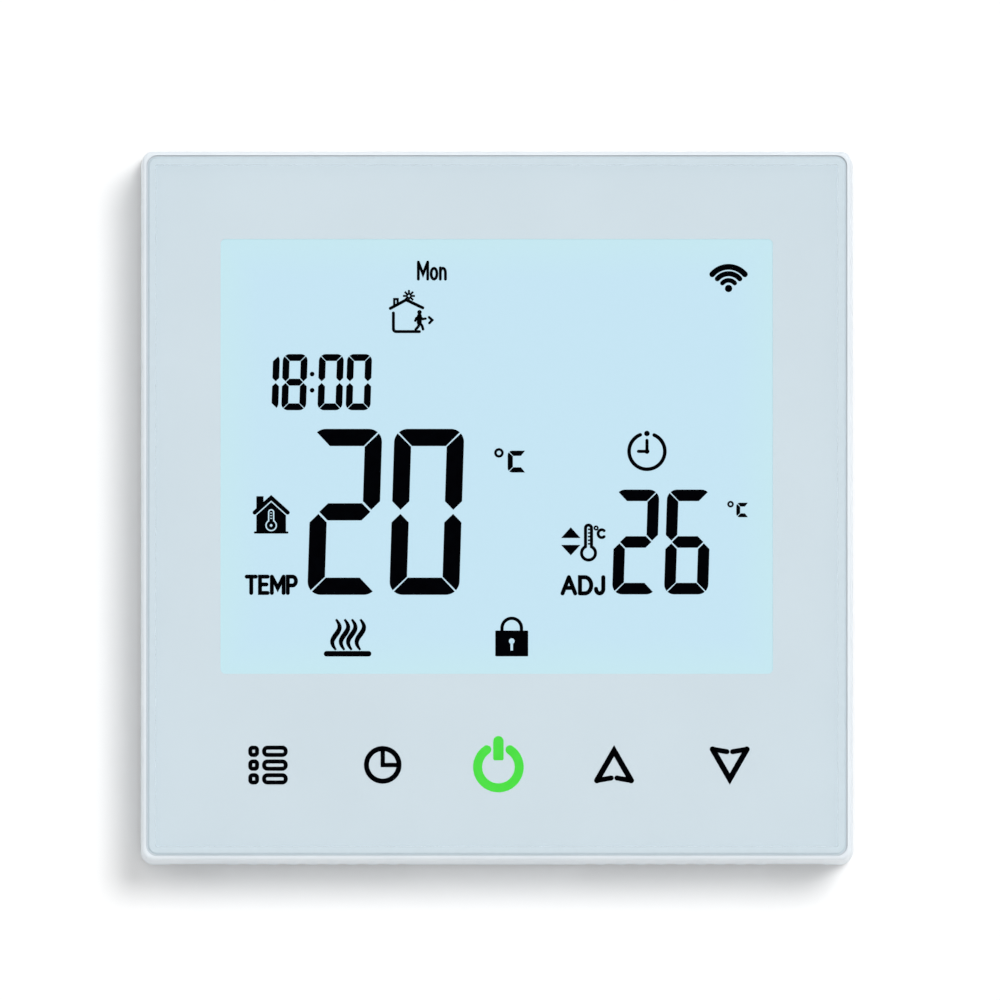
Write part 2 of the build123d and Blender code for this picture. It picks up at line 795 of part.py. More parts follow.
def box_air_vents():
    """Slots in the top, side and rear walls of the deep part, to let the relay's heat out."""
    middle = (power_back + box_inside) / 2
    upright = SlotOverall(box_vent_length, box_vent_width, rotation=90)
    level = SlotOverall(box_vent_length, box_vent_width)
    rows = spread(box_vents, box_vent_pitch)
    top = extrude(row(upright, box_vents, box_vent_pitch, (0, middle)), box_height)
    sides = extrude(Plane.YZ * many(level, [(middle, z) for z in rows]), box_width, both=True)
    return top + sides + slab(many(level, [(0, z) for z in rows]), box_inside, box_back)


def rear_housing():
    """Moulded box behind the wall, with corner lugs, wire entries and holes for a screwdriver."""
    room = box_outline(-box_wall)
    above_floor = Pos(0, room_low + box_height / 2) * Rectangle(2 * box_width, box_height)
    shell = box_shell() - slab(room, flange_front, step_inside)
    shell -= slab(room & above_floor, flange_front, box_inside)
    shell -= box_air_vents()

    upper_half = Pos(0, box_height / 2) * Rectangle(2 * box_width, box_height)
    shell += slab(beyond(lug_line), cover_back, power_back)
    shell += slab(beyond(ledge_line) & upper_half, power_back, box_inside)
    shell -= slab(many(Circle(screw_radius + thread_gap), cover_screw_places), cover_back, power_back)
    shell -= slab(many(Circle(terminal_head_radius + access_slip), terminal_places), step_inside, step_back)
    entry = Rectangle(wire_width + 2 * access_slip, wire_room + 2 * access_slip)
    shell -= extrude(row(entry, terminal_count, terminal_pitch, (0, entry_y)), -box_height)
    for x, z in flange_screw_places:
        shell -= flat_head(x, z, thread_gap, plate_front)
    return shell


def flange_screws():
    """Countersunk screws that hold the power box to the plate."""
    screws = []
    for x, z in flange_screw_places:
        recess = cross_recess(x, z, flange_front, flange_front + cross_depth)
        screws.append(flat_head(x, z, 0, 0) - recess)
    return Compound(screws)


def inner_cover():
    """Cover over the power board, with an opening for the plug and slots for air."""
    outline = box_outline(-box_wall - cover_slip)
    plug_length = plug_ways * plug_pitch
    opening = Rectangle(plug_length + 2 * plate_clearance, plug_width + 2 * plate_clearance)
    outline -= Pos(0, plug_z) * opening
    slot = SlotOverall(plug_length, vent_width)
    outline -= many(slot, [(0, -vent_pitch * (i + 1)) for i in range(cover_vents)])
    outline -= many(Circle(screw_radius + seat_gap), cover_screw_places)
    return slab(outline, cover_front, cover_back)


def cover_screws():
    """Screws that hold the inner cover to the lugs of the power box."""
    return Compound([pan_screw(x, z, cover_front, -1) for x, z in cover_screw_places])


def power_board():
    """Power board, cut back at the corners to clear the lugs, with holes for the pins and contacts."""
    board_line = lug_line - cover_slip * sqrt(2)
    margin = box_wall + cover_slip
    outline = octagon(box_width, box_height, box_side + box_top - board_line)
    outline &= Rectangle(box_width - 2 * margin, box_height - 2 * margin)
    hole = header_pin + 2 * thread_gap
    outline -= many(Rectangle(hole, hole), plug_places)
    return slab(outline, power_front, power_back) - contact_tails(thread_gap)


def pin_header():
    """Strip that holds the pins on the front of the power board."""
    return plug_strip(header_front, power_front, header_pin + 2 * thread_gap, header_front)


def header_pins():
    """Square pins with pointed ends that enter the socket of the face unit."""
    tip = board_back + socket_floor + header_pin
    pins = slab(many(Rectangle(header_pin, header_pin), plug_places), tip, power_back + header_tail)
    return chamfer(pins.faces().group_by(Axis.Y)[0].edges(), header_point)


def relay():
    """Sealed relay that switches the heating."""
    outline = RectangleRounded(relay_width, relay_depth, relay_round)
    case = slab(outline, power_back, power_back + relay_height)
    return Pos(relay_x, 0, relay_z) * chamfer(rear_face(case).edges(), relay_edge)


def transformer_core():
    """Ferrite core: an outer frame with a middle leg through the winding."""
    room = (core_width - core_middle_leg) / 2 - core_leg
    outline = Rectangle(core_width, core_height)
    outline -= row(Rectangle(room, core_height - 2 * core_yoke), 2, core_middle_leg + room, (0, 0))
    core = extrude(outline, core_depth / 2, both=True)
    return Pos(core_x, power_back + seat_gap + core_height / 2, core_z) * core


def transformer_winding():
    """Taped winding round the core's middle leg, on a bobbin whose end flanges stand on the board."""
    width = core_width - 2 * (core_leg + core_slip)
    height = core_height - 2 * (core_yoke + core_slip)
    half_length = winding_depth / 2 - bobbin_flange
    coil = extrude(RectangleRounded(width, height, winding_round), half_length, both=True)
    foot = seat_gap + core_height / 2
    end = extrude(Pos(0, (height / 2 - foot) / 2) * Rectangle(width, height / 2 + foot), bobbin_flange)
    coil += Pos(0, 0, half_length) * end
    coil += Pos(0, 0, -winding_depth / 2) * end
    leg = Rectangle(core_middle_leg + 2 * core_slip, core_height)
    coil -= extrude(leg, core_depth / 2 + core_slip, both=True)
    return Pos(core_x, power_back + foot, core_z) * coil


def can_capacitor(x, z, radius, height):
    """Upright capacitor in a can, with a crimp near the board and a rounded top."""
    top = power_back + height
    crimp = power_back + 3 * can_crimp
    profile = [
        (0, power_back),
        (radius, power_back),
        (radius, crimp - can_crimp),
        (radius - can_crimp, crimp),
        (radius, crimp + can_crimp),
        (radius, top - can_top),
        (radius - can_top, top),
        (0, top),
    ]
    return turned(profile, x, z)


def film_capacitor():
    """Boxed mains filter capacitor above the relay."""
    outline = Pos(-headroom - film_cap_width / 2, film_cap_z) * Rectangle(film_cap_width, film_cap_depth)
    case = slab(outline, power_back, power_back + film_cap_height)
    return fillet(rear_face(case).edges(), film_cap_round)


def varistor():
    """Disc on edge that guards the supply against surges, with a narrow foot."""
    x = -headroom - varistor_radius
    z = top_row + varistor_thick / 2
    centre = power_back + headroom + varistor_radius
    disc = Cylinder(varistor_radius, varistor_thick)
    disc = Pos(x, centre, z) * fillet(disc.edges().filter_by(GeomType.CIRCLE), varistor_round)
    return disc + slab(Pos(x, z) * Rectangle(varistor_radius, varistor_foot), power_back, centre)


def fuse():
    """Boxed mains fuse beside the varistor."""
    outline = RectangleRounded(fuse_width, fuse_depth, fuse_round)
    place = Pos(headroom + fuse_width / 2, top_row + fuse_depth / 2)
    return slab(place * outline, power_back, power_back + fuse_height)


def small_chip(side):
    """Low chip on the front of the power board."""
    place = Pos(side * small_chip_spread / 2, -small_chip_down)
    outline = place * Rectangle(small_chip_width, small_chip_depth)
    chip = slab(outline, power_front - small_chip_rise, power_front)
    return chamfer(front_face(chip).edges(), chip_edge)


# Screw terminals


def contact_tails(room):
    """Tails of the fixed contacts through the power board, with room round them."""
    tail = Rectangle(contact_width + 2 * room, contact_thick + 2 * room)
    return slab(many(tail, tail_places), power_front - contact_tail, power_back)


def terminal_contacts():
    """Fixed contact bars that the wires are clamped against, bent down into tails."""
    low = clamp_z - clamp_length / 2
    middle = (low + tail_high) / 2
    bars = many(Rectangle(contact_width, tail_high - low), [(x, middle) for x in terminal_xs])
    legs = many(Rectangle(contact_width, contact_thick), tail_places)
    contacts = slab(bars, power_back + contact_low, power_back + contact_high)
    return contacts + slab(legs, power_back, power_back + contact_low) + contact_tails(0)


def terminal_block():
    """Moulded block with a clamp pocket, a screw hole and a wire entry for each terminal."""
    outline = Pos(0, (entry_face + block_top) / 2) * Rectangle(block_width, terminal_length)
    block = slab(outline, power_back, block_back)
    pocket = Rectangle(clamp_width + 2 * terminal_slip, clamp_length + 2 * terminal_slip)
    block -= slab(many(pocket, terminal_places), power_back, power_back + pocket_high)
    shanks = many(Circle(terminal_screw_radius + terminal_slip), terminal_places)
    block -= slab(shanks, power_back, block_back)
    heads = many(Circle(terminal_head_radius + terminal_slip), terminal_places)
    block -= slab(heads, power_back + head_seat, block_back)
    entries = row(Rectangle(wire_width, wire_room), terminal_count, terminal_pitch, (0, entry_y))
    block -= Pos(0, 0, entry_face) * extrude(entries, clamp_z - entry_face)
    slot_length = tail_high + terminal_slip - clamp_z
    slots = many(Rectangle(wire_width, slot_length), [(x, clamp_z + slot_length / 2) for x in terminal_xs])
    return block - slab(slots, power_back, power_back + contact_high + terminal_slip)


def terminal_screw(x):
    """Captive screw of one terminal. It turns in place, with its tip at the contact bar."""
    seat = power_back + head_seat
    top = seat + terminal_head_height
    tip = power_back + contact_high + thread_gap
    edge = terminal_head_edge
    profile = [
        (0, tip),
        (terminal_screw_radius - edge, tip),
        (terminal_screw_radius, tip + edge),
        (terminal_screw_radius, seat),
        (terminal_head_radius, seat),
        (terminal_head_radius, top - edge),
        (terminal_head_radius - edge, top),
        (0, top),
    ]
    slot = Pos(x, clamp_z) * Rectangle(2 * terminal_head_radius, driver_slot)
    return turned(profile, x, clamp_z) - slab(slot, top - driver_slot_depth, top)


def terminal_clamp(x):
    """Rising cage of one terminal. Its nut climbs the screw and lifts the wire to the contact bar."""
    low = power_back + clamp_rest
    high = low + clamp_height
    place = Pos(x, clamp_z)
    loop = slab(place * Rectangle(clamp_width, clamp_length), low, high)
    loop -= slab(place * Rectangle(wire_width, clamp_length), low + clamp_floor, high - clamp_nut)
    return loop - slab(place * Circle(terminal_screw_radius + thread_gap), high - clamp_nut, high)


pieces = {
    "face_lens": face_lens(),
    "face_mask": face_mask(),
    "front_housing": front_housing(),
    "front_polariser": display_sheet(polariser_border, display_front, polariser_thick),
    "lcd_cell": lcd_cell(),
    "lcd_pins": lcd_pins(),
    "rear_polariser": display_sheet(guide_border - tray_slip, rear_glass_back, polariser_thick),
    "diffuser_film": display_sheet(guide_border - tray_slip, diffuser_front, diffuser_thick),
    "light_guide": light_guide(),
    "reflector_film": guide_sheet(guide_back, reflector_thick),
    "backlight_tray": backlight_tray(),
    "backlight_lamps": backlight_lamps(),
    "main_board": main_board(),
    "touch_springs": touch_springs(),
    "key_lamps": key_lamps(),
    "controller_chip": controller_chip(),
    "touch_chip": touch_chip(),
    "wifi_board": wifi_board(),
    "wifi_shield": wifi_shield(),
    "clock_crystal": clock_crystal(),
    "board_resistors": board_resistors(),
    "room_sensor": room_sensor(),
    "front_socket": front_socket(),
    "board_screws": board_screws(),
    "mounting_plate": mounting_plate(),
    "plate_catches": plate_catches(),
    "rear_housing": rear_housing(),
    "flange_screws": flange_screws(),
    "inner_cover": inner_cover(),
    "cover_screws": cover_screws(),
    "power_board": power_board(),
    "pin_header": pin_header(),
    "header_pins": header_pins(),
    "relay": relay(),
    "transformer_core": transformer_core(),
    "transformer_winding": transformer_winding(),
    "bulk_capacitor": can_capacitor(core_x, bulk_z, bulk_radius, bulk_height),
    "output_capacitor": can_capacitor(output_x, relay_z, output_radius, output_height),
    "film_capacitor": film_capacitor(),
    "varistor": varistor(),
    "fuse": fuse(),
    "bridge_rectifier": small_chip(-1),
    "supply_chip": small_chip(1),
    "terminal_block": terminal_block(),
    "terminal_contacts": terminal_contacts(),
}
for number, place in enumerate(terminal_xs, 1):
    pieces[f"terminal_screw_{number}"] = terminal_screw(place)
    pieces[f"terminal_clamp_{number}"] = terminal_clamp(place)

os.makedirs("parts", exist_ok=True)
for name, shape in pieces.items():
    export_step(shape, f"parts/{name}.step")
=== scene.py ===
import bpy
import numpy as np
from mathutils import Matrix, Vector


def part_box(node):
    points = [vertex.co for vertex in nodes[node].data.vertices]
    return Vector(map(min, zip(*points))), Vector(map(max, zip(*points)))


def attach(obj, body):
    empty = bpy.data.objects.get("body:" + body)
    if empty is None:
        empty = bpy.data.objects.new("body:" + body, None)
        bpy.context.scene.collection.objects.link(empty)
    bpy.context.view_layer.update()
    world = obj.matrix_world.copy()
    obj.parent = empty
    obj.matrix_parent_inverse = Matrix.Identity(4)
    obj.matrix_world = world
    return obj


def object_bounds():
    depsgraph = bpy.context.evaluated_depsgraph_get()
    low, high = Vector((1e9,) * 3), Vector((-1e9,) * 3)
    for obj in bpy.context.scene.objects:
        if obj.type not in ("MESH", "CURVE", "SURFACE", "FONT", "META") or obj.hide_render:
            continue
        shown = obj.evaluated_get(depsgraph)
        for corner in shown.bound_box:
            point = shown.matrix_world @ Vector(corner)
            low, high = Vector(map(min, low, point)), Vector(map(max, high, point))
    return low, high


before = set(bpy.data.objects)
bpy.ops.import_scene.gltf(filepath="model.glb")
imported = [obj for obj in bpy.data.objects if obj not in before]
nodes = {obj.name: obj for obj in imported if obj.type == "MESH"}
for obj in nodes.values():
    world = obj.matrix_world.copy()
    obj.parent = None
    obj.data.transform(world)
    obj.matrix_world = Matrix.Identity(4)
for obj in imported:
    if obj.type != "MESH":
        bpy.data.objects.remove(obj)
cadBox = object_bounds()
mm = 0.001
print("frame loaded:", len(nodes), "nodes")


# Shapes: every function gives points in X and Z in millimetres, seen from the room

def circle(radius, centre=(0, 0), start=0, turn=360, steps=48):
    # centre plus radius times the cosine and sine of an even run of angles in degrees
    angle = np.radians(np.linspace(start, start + turn, steps, endpoint=turn < 360))
    return np.asarray(centre) + radius * np.stack([np.cos(angle), np.sin(angle)], axis=1)


def roundedBox(width, height, radius, centre=(0, 0), steps=7):
    # quarter circles about four corner centres, joined by the straight runs between them
    angle = np.radians(90 * np.arange(4)[:, None] + np.linspace(0, 90, steps)[None, :])
    corner = np.array([[1, 1], [-1, 1], [-1, -1], [1, -1]]) * [width / 2 - radius, height / 2 - radius]
    arcs = corner[:, None, :] + radius * np.stack([np.cos(angle), np.sin(angle)], axis=2)
    return arcs.reshape(-1, 2) + np.asarray(centre)


def roundEnds(path, width, steps=6):
    # past each end the path goes on by half the width times a sine, while the width falls as the cosine
    path = np.asarray(path, float)
    angle = np.radians(np.linspace(0, 84, steps))[1:]  # short of 90, so that the tip keeps a little width
    first, last = path[0] - path[1], path[-1] - path[-2]
    out = width / 2 * np.sin(angle)[:, None]
    head = path[0] + out[::-1] * first / np.linalg.norm(first)
    tail = path[-1] + out * last / np.linalg.norm(last)
    fall = width * np.cos(angle)
    return np.vstack([head, path, tail]), np.concatenate([fall[::-1], np.full(len(path), width), fall])


def strip(path, width, closed=False):
    # a flat rectangle carried along a path: its sides stand half a width off, mitred where the path bends
    path = np.asarray(path, float)
    width = np.broadcast_to(np.asarray(width, float), len(path))
    into = path - np.roll(path, 1, axis=0)
    out = np.roll(path, -1, axis=0) - path
    if not closed:
        into[0] = out[0]
        out[-1] = into[-1]
    into /= np.linalg.norm(into, axis=1, keepdims=True)
    out /= np.linalg.norm(out, axis=1, keepdims=True)
    both = into + out
    size = np.linalg.norm(both, axis=1, keepdims=True)
    reach = width[:, None] / np.maximum(size, 0.7)  # a very sharp bend has its mitre cut short
    side = reach * np.stack([-both[:, 1], both[:, 0]], axis=1) / size
    rows = np.stack([path + side, path - side, path - side, path + side], axis=1)
    depth = np.broadcast_to([-1.0, -1.0, 0.0, 0.0], rows.shape[:2])
    points = np.stack([rows[..., 0], depth, rows[..., 1]], axis=2).reshape(-1, 3)
    row = np.arange(len(path) if closed else len(path) - 1)[:, None]
    after = (row + 1) % len(path)
    column = np.arange(4)[None, :]
    beside = (column + 1) % 4
    quads = np.stack([4 * row + beside, 4 * after + beside, 4 * after + column, 4 * row + column], axis=2)
    faces = quads.reshape(-1, 4).tolist()
    if not closed:
        end = 4 * (len(path) - 1)
        faces += [[3, 2, 1, 0], [end, end + 1, end + 2, end + 3]]
    return points, faces


def stroke(path, width):
    return strip(*roundEnds(path, width))


def plate(outline):
    # an outline carried straight back by one thickness, closed by its two faces
    outline = np.asarray(outline, float)
    count = len(outline)
    front = np.stack([outline[:, 0], np.full(count, -1.0), outline[:, 1]], axis=1)
    points = np.vstack([front, front * [1, 0, 1]])
    here = np.arange(count)
    after = (here + 1) % count
    sides = np.stack([here, here + count, after + count, after], axis=1).tolist()
    return points, [here.tolist(), (here[::-1] + count).tolist()] + sides


def moved(parts, place):
    return [(points + [place[0], 0, place[1]], faces) for points, faces in parts]


def word(text, width, height, place):
    # outlines of plain built-in letters, filled, stretched to a width and a height, and set by their middle
    curve = bpy.data.curves.new("letters", "FONT")
    curve.body = text
    curve.align_x = "CENTER"
    curve.align_y = "CENTER"
    curve.size = 1.0
    curve.extrude = 0.5
    holder = bpy.data.objects.new("letters", curve)
    mesh = bpy.data.meshes.new_from_object(holder)
    flat = np.empty(len(mesh.vertices) * 3)
    mesh.vertices.foreach_get("co", flat)
    flat = flat.reshape(-1, 3)
    faces = [list(face.vertices) for face in mesh.polygons]
    bpy.data.objects.remove(holder)
    bpy.data.curves.remove(curve)
    bpy.data.meshes.remove(mesh)
    flat[:, :2] -= (flat[:, :2].min(axis=0) + flat[:, :2].max(axis=0)) / 2
    across, up = flat[:, 0] * width / np.ptp(flat[:, 0]), flat[:, 1] * height / np.ptp(flat[:, 1])
    return np.stack([across + place[0], -flat[:, 2] - 0.5, up + place[1]], axis=1), faces


def makePiece(name, parts, back, thick, body, slot, material):
    # parts are joined, scaled from unit thickness to millimetres and set in front of a depth in metres
    offsets = np.cumsum([0] + [len(points) for points, _ in parts])
    across, unit, up = np.vstack([points for points, _ in parts]).T
    points = np.stack([across * mm, back + unit * thick, up * mm], axis=1)
    faces = [[int(k + start) for k in face] for (_, part), start in zip(parts, offsets) for face in part]
    mesh = bpy.data.meshes.new(name)
    mesh.from_pydata(points.tolist(), [], faces)
    mesh.update()
    mesh.materials.append(material)
    piece = bpy.data.objects.new(name, mesh)
    bpy.context.scene.collection.objects.link(piece)
    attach(piece, body)
    return piece


# Materials: a shader tree is put together from short calls, with colours written as they look on a screen

def tint(colour, share=1.0):
    # three parts up to 255 made linear, and darkened by a share below one
    screen = share * np.array(colour) / 255
    line = np.where(screen <= 0.04045, screen / 12.92, ((screen + 0.055) / 1.055) ** 2.4)
    return (*line.tolist(), 1.0)


def dimmed(colour, share):
    return (*[share * part for part in colour[:3]], 1.0)


def addNode(tree, kind, inputs=None, **settings):
    made = tree.nodes.new(kind)
    for key, value in settings.items():
        setattr(made, key, value)
    for key, value in (inputs or {}).items():
        if isinstance(value, bpy.types.NodeSocket):
            tree.links.new(value, made.inputs[key])
        else:
            made.inputs[key].default_value = value
    return made


def newFinish(name, **sockets):
    material = bpy.data.materials.new(name)
    material.use_nodes = True
    tree = material.node_tree
    shader = tree.nodes["Principled BSDF"]
    for key, value in sockets.items():
        shader.inputs[key.replace("_", " ")].default_value = value
    place = addNode(tree, "ShaderNodeTexCoord").outputs["Object"]
    return material, tree, shader, place


def noise(tree, place, scale, detail=2.0, stretch=None):
    if stretch:
        place = addNode(tree, "ShaderNodeMapping", {"Vector": place, "Scale": stretch}).outputs["Vector"]
    made = addNode(tree, "ShaderNodeTexNoise", {"Vector": place, "Scale": scale, "Detail": detail})
    return made.outputs["Fac"]


def ramp(tree, fac, low, high, lowColour, highColour):
    made = addNode(tree, "ShaderNodeValToRGB", {"Fac": fac})
    for element, at, colour in zip(made.color_ramp.elements, (low, high), (lowColour, highColour)):
        element.position = at
        element.color = colour
    return made.outputs["Color"]


def between(tree, fac, low, high):
    made = addNode(tree, "ShaderNodeMapRange", {"Value": fac, "To Min": low, "To Max": high})
    return made.outputs["Result"]


def blendColour(tree, fac, first, second):
    made = addNode(tree, "ShaderNodeMixRGB", {"Fac": fac, "Color1": first, "Color2": second})
    return made.outputs["Color"]


def maths(tree, operation, first, second=0.0):
    made = addNode(tree, "ShaderNodeMath", {0: first, 1: second}, operation=operation)
    return made.outputs["Value"]


def bump(tree, shader, height, strength, distance):
    made = addNode(tree, "ShaderNodeBump", {"Height": height, "Strength": strength, "Distance": distance})
    tree.links.new(made.outputs["Normal"], shader.inputs["Normal"])


def feed(tree, shader, **sockets):
    for key, value in sockets.items():
        tree.links.new(value, shader.inputs[key.replace("_", " ")])


def mixShaders(tree, fac, first, second):
    # the first surface gives way to the second as the share grows, and the mix is what shows
    mixed = addNode(tree, "ShaderNodeMixShader", {"Fac": fac, 1: first, 2: second})
    tree.links.new(mixed.outputs["Shader"], tree.nodes["Material Output"].inputs["Surface"])


def mouldedPlastic(name, colour, shade, grain, depth, rough, coat=0.0, drift=70.0, spread=0.07):
    # fine spark-eroded grain, and a slow drift of tone as in any moulding
    material, tree, shader, place = newFinish(name, Coat_Weight=coat)
    fine = noise(tree, place, grain, 3.0)
    tone = ramp(tree, noise(tree, place, drift), 0.35, 0.65, tint(shade), tint(colour))
    feed(tree, shader, Base_Color=tone, Roughness=between(tree, fine, rough - spread, rough + spread))
    bump(tree, shader, fine, 0.35, depth * mm)
    return material


def drawnMetal(name, colour, shade, scale, stretch, rough):
    # drawing lines along one direction change both tone and gloss
    material, tree, shader, place = newFinish(name, Metallic=1.0)
    lines = noise(tree, place, scale, 3.0, stretch)
    tone = ramp(tree, lines, 0.3, 0.7, tint(shade), tint(colour))
    feed(tree, shader, Base_Color=tone, Roughness=between(tree, lines, rough - 0.08, rough + 0.1))
    bump(tree, shader, lines, 0.2, 0.01 * mm)
    return material


def zincSheet(name, colour, shade, spangle, rough):
    # flat crystals of the zinc coat differ a little in tone, and rubbing along Z changes the gloss
    material, tree, shader, place = newFinish(name, Metallic=1.0)
    cells = addNode(tree, "ShaderNodeTexVoronoi", {"Vector": place, "Scale": spangle})
    crystal = addNode(tree, "ShaderNodeSeparateColor", {"Color": cells.outputs["Color"]}).outputs["Red"]
    rub = noise(tree, place, 900.0, 3.0, (1.0, 1.0, 0.05))
    tone = ramp(tree, crystal, 0.0, 1.0, tint(shade), tint(colour))
    feed(tree, shader, Base_Color=tone, Roughness=between(tree, rub, rough - 0.1, rough + 0.12))
    bump(tree, shader, rub, 0.15, 0.01 * mm)
    return material


def varnishedBoard(name, colour, shade, weave):
    # green varnish over glass cloth, whose threads show faintly as a fine grid
    material, tree, shader, place = newFinish(name, Coat_Weight=0.35)
    threads = addNode(tree, "ShaderNodeTexVoronoi", {"Vector": place, "Scale": weave, "Randomness": 0.15},
                      distance="CHEBYCHEV").outputs["Distance"]
    drift = noise(tree, place, 90.0)
    cloth = maths(tree, "ADD", maths(tree, "MULTIPLY", threads, 0.4), maths(tree, "MULTIPLY", drift, 0.6))
    tone = ramp(tree, cloth, 0.3, 0.65, tint(shade), tint(colour))
    feed(tree, shader, Base_Color=tone, Roughness=between(tree, drift, 0.24, 0.34))
    bump(tree, shader, threads, 0.15, 0.01 * mm)
    return material


def pastSides(tree, place, node, inset=0.0):
    # distance past a node's sides along X and along Z, with the sides drawn in by an inset
    low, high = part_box(node)
    middle, half = (low + high) / 2, (high - low) / 2
    axes = addNode(tree, "ShaderNodeSeparateXYZ", {"Vector": place}).outputs
    past = []
    for axis, centre, reach in (("X", middle.x, half.x), ("Z", middle.z, half.z)):
        out = maths(tree, "ABSOLUTE", maths(tree, "SUBTRACT", axes[axis], centre))
        past.append(maths(tree, "SUBTRACT", out, reach - inset))
    return past


def leadedChip(name, node, reach, colour, metal):
    # black moulding in the middle, and bright leads beyond the body's sides
    material, tree, shader, place = newFinish(name)
    past = maths(tree, "MAXIMUM", *pastSides(tree, place, node, reach))
    outside = maths(tree, "GREATER_THAN", past, 0.0)
    fine = noise(tree, place, 3200.0, 3.0)
    body = ramp(tree, fine, 0.35, 0.65, tint(colour, 0.85), tint(colour))
    feed(tree, shader, Base_Color=blendColour(tree, outside, body, tint(metal)), Metallic=outside,
         Roughness=between(tree, fine, 0.3, 0.5))
    return material


def chipResistor(name, node, length, pitch, cap, colour, metal):
    # dark tops on a steady pitch along X, with bright caps at both ends
    material, tree, shader, place = newFinish(name)
    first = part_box(node)[0].x + length / 2
    axes = addNode(tree, "ShaderNodeSeparateXYZ", {"Vector": place}).outputs
    shifted = maths(tree, "SUBTRACT", axes["X"], first - pitch / 2)
    within = maths(tree, "SUBTRACT", maths(tree, "FLOORED_MODULO", shifted, pitch), pitch / 2)
    ends = maths(tree, "GREATER_THAN", maths(tree, "ABSOLUTE", within), length / 2 - cap)
    fine = noise(tree, place, 2600.0, 3.0)
    body = ramp(tree, fine, 0.35, 0.65, tint(colour, 0.8), tint(colour))
    feed(tree, shader, Base_Color=blendColour(tree, ends, body, tint(metal)), Metallic=ends,
         Roughness=between(tree, fine, 0.28, 0.42))
    return material


def borderDistance(tree, place, node, corner):
    # distance past a border with round corners: how far out of the corner centres' box, or how deep in it,
    # less the corner radius
    past = pastSides(tree, place, node, corner)
    outer = [maths(tree, "MAXIMUM", part, 0.0) for part in past]
    squares = [maths(tree, "MULTIPLY", part, part) for part in outer]
    outside = maths(tree, "SQRT", maths(tree, "ADD", *squares))
    inside = maths(tree, "MINIMUM", maths(tree, "MAXIMUM", *past), 0.0)
    return maths(tree, "SUBTRACT", maths(tree, "ADD", outside, inside), corner)


def clearSheet(name, colour, bend, rough):
    # mostly see-through, with a mirror part that follows from how much the sheet bends light: it is least
    # seen straight on, and nears one by the fifth power towards the edges of sight
    material, tree, shader, place = newFinish(name, Base_Color=colour, Metallic=1.0)
    feed(tree, shader, Roughness=between(tree, noise(tree, place, 60.0), rough, rough + 0.03))
    clear = addNode(tree, "ShaderNodeBsdfTransparent", {"Color": (1.0, 1.0, 1.0, 1.0)})
    straight = ((bend - 1) / (bend + 1)) ** 2
    facing = addNode(tree, "ShaderNodeLayerWeight", {"Blend": 0.5}).outputs["Facing"]
    gloss = between(tree, maths(tree, "POWER", facing, 5.0), straight, 1.0)
    mixShaders(tree, gloss, clear.outputs["BSDF"], shader.outputs["BSDF"])
    return material


def cutSheet(name, node, colour, bend, rough, corner, edge, fade, paintedLightColour):
    # a clear sheet whose sawn and chamfered border is frosted, and clears within a short way from it; the
    # frost is painted light: it has the tone of the evenly lit print and is laid over the shade that the rim
    # casts on the print
    material = clearSheet(name, colour, bend, rough)
    tree = material.node_tree
    place = addNode(tree, "ShaderNodeTexCoord").outputs["Object"]
    past = borderDistance(tree, place, node, corner)
    # painted light: within this band the sheet shows the lit print's tone in place of the print's shade near
    # the rim
    paintedLightShare = addNode(tree, "ShaderNodeMapRange", {"Value": past, "From Min": -fade, "From Max": -edge},
                    interpolation_type="SMOOTHSTEP").outputs["Result"]
    paintedLightShader = addNode(tree, "ShaderNodeBsdfPrincipled", {"Roughness": 0.55})
    uneven = noise(tree, place, 1200.0)
    feed(tree, paintedLightShader, Base_Color=ramp(tree, uneven, 0.3, 0.7, tint(paintedLightColour, 0.985), tint(paintedLightColour)))
    sheet = tree.nodes["Material Output"].inputs["Surface"].links[0].from_socket
    mixShaders(tree, paintedLightShare, sheet, paintedLightShader.outputs["BSDF"])
    return material


def litSheet(name, colour, edge, glow, border, wander):
    # light from behind is even in the middle and a little greener within a border of the window's sides,
    # whose inner edge wanders
    material, tree, shader, place = newFinish(name, Roughness=0.6, Specular_IOR_Level=0.1,
                                              Emission_Strength=glow)
    past = maths(tree, "MAXIMUM", *pastSides(tree, place, name))
    uneven = maths(tree, "MULTIPLY", noise(tree, place, 160.0), wander)
    near = addNode(tree, "ShaderNodeMapRange", {"Value": maths(tree, "ADD", past, uneven),
                   "From Min": -border, "From Max": 0.0}).outputs["Result"]
    tones = tint(colour), tint(edge)
    body = ramp(tree, near, 0.0, 1.0, *[dimmed(tone, 1 - glow) for tone in tones])
    feed(tree, shader, Emission_Color=ramp(tree, near, 0.0, 1.0, *tones), Base_Color=body)
    return material


def inkPrint(name, colour, shade, glow=0.0):
    # a printed or switched patch, very slightly uneven, lit where it glows
    material, tree, shader, place = newFinish(name, Roughness=0.6, Specular_IOR_Level=0.0,
                                              Emission_Strength=glow)
    uneven = noise(tree, place, 900.0)
    tones = tint(shade), tint(colour)
    body = ramp(tree, uneven, 0.3, 0.7, *[dimmed(tone, 1 - glow) for tone in tones])
    feed(tree, shader, Base_Color=body)
    if glow:
        feed(tree, shader, Emission_Color=ramp(tree, uneven, 0.3, 0.7, *tones))
    return material


def bandedWrap(name, colour, shade, bands, axis, rough):
    # turns of tape or ridges of a sleeve repeat along one direction
    material, tree, shader, place = newFinish(name, Coat_Weight=0.2)
    wave = addNode(tree, "ShaderNodeTexWave", {"Vector": place, "Scale": bands, "Distortion": 0.6,
                   "Detail Scale": 2.0}, bands_direction=axis).outputs["Fac"]
    worn = between(tree, noise(tree, place, 500.0), rough - 0.06, rough + 0.08)
    feed(tree, shader, Base_Color=ramp(tree, wave, 0.1, 0.5, tint(shade), tint(colour)), Roughness=worn)
    bump(tree, shader, wave, 0.3, 0.05 * mm)
    return material


# Front of the face unit

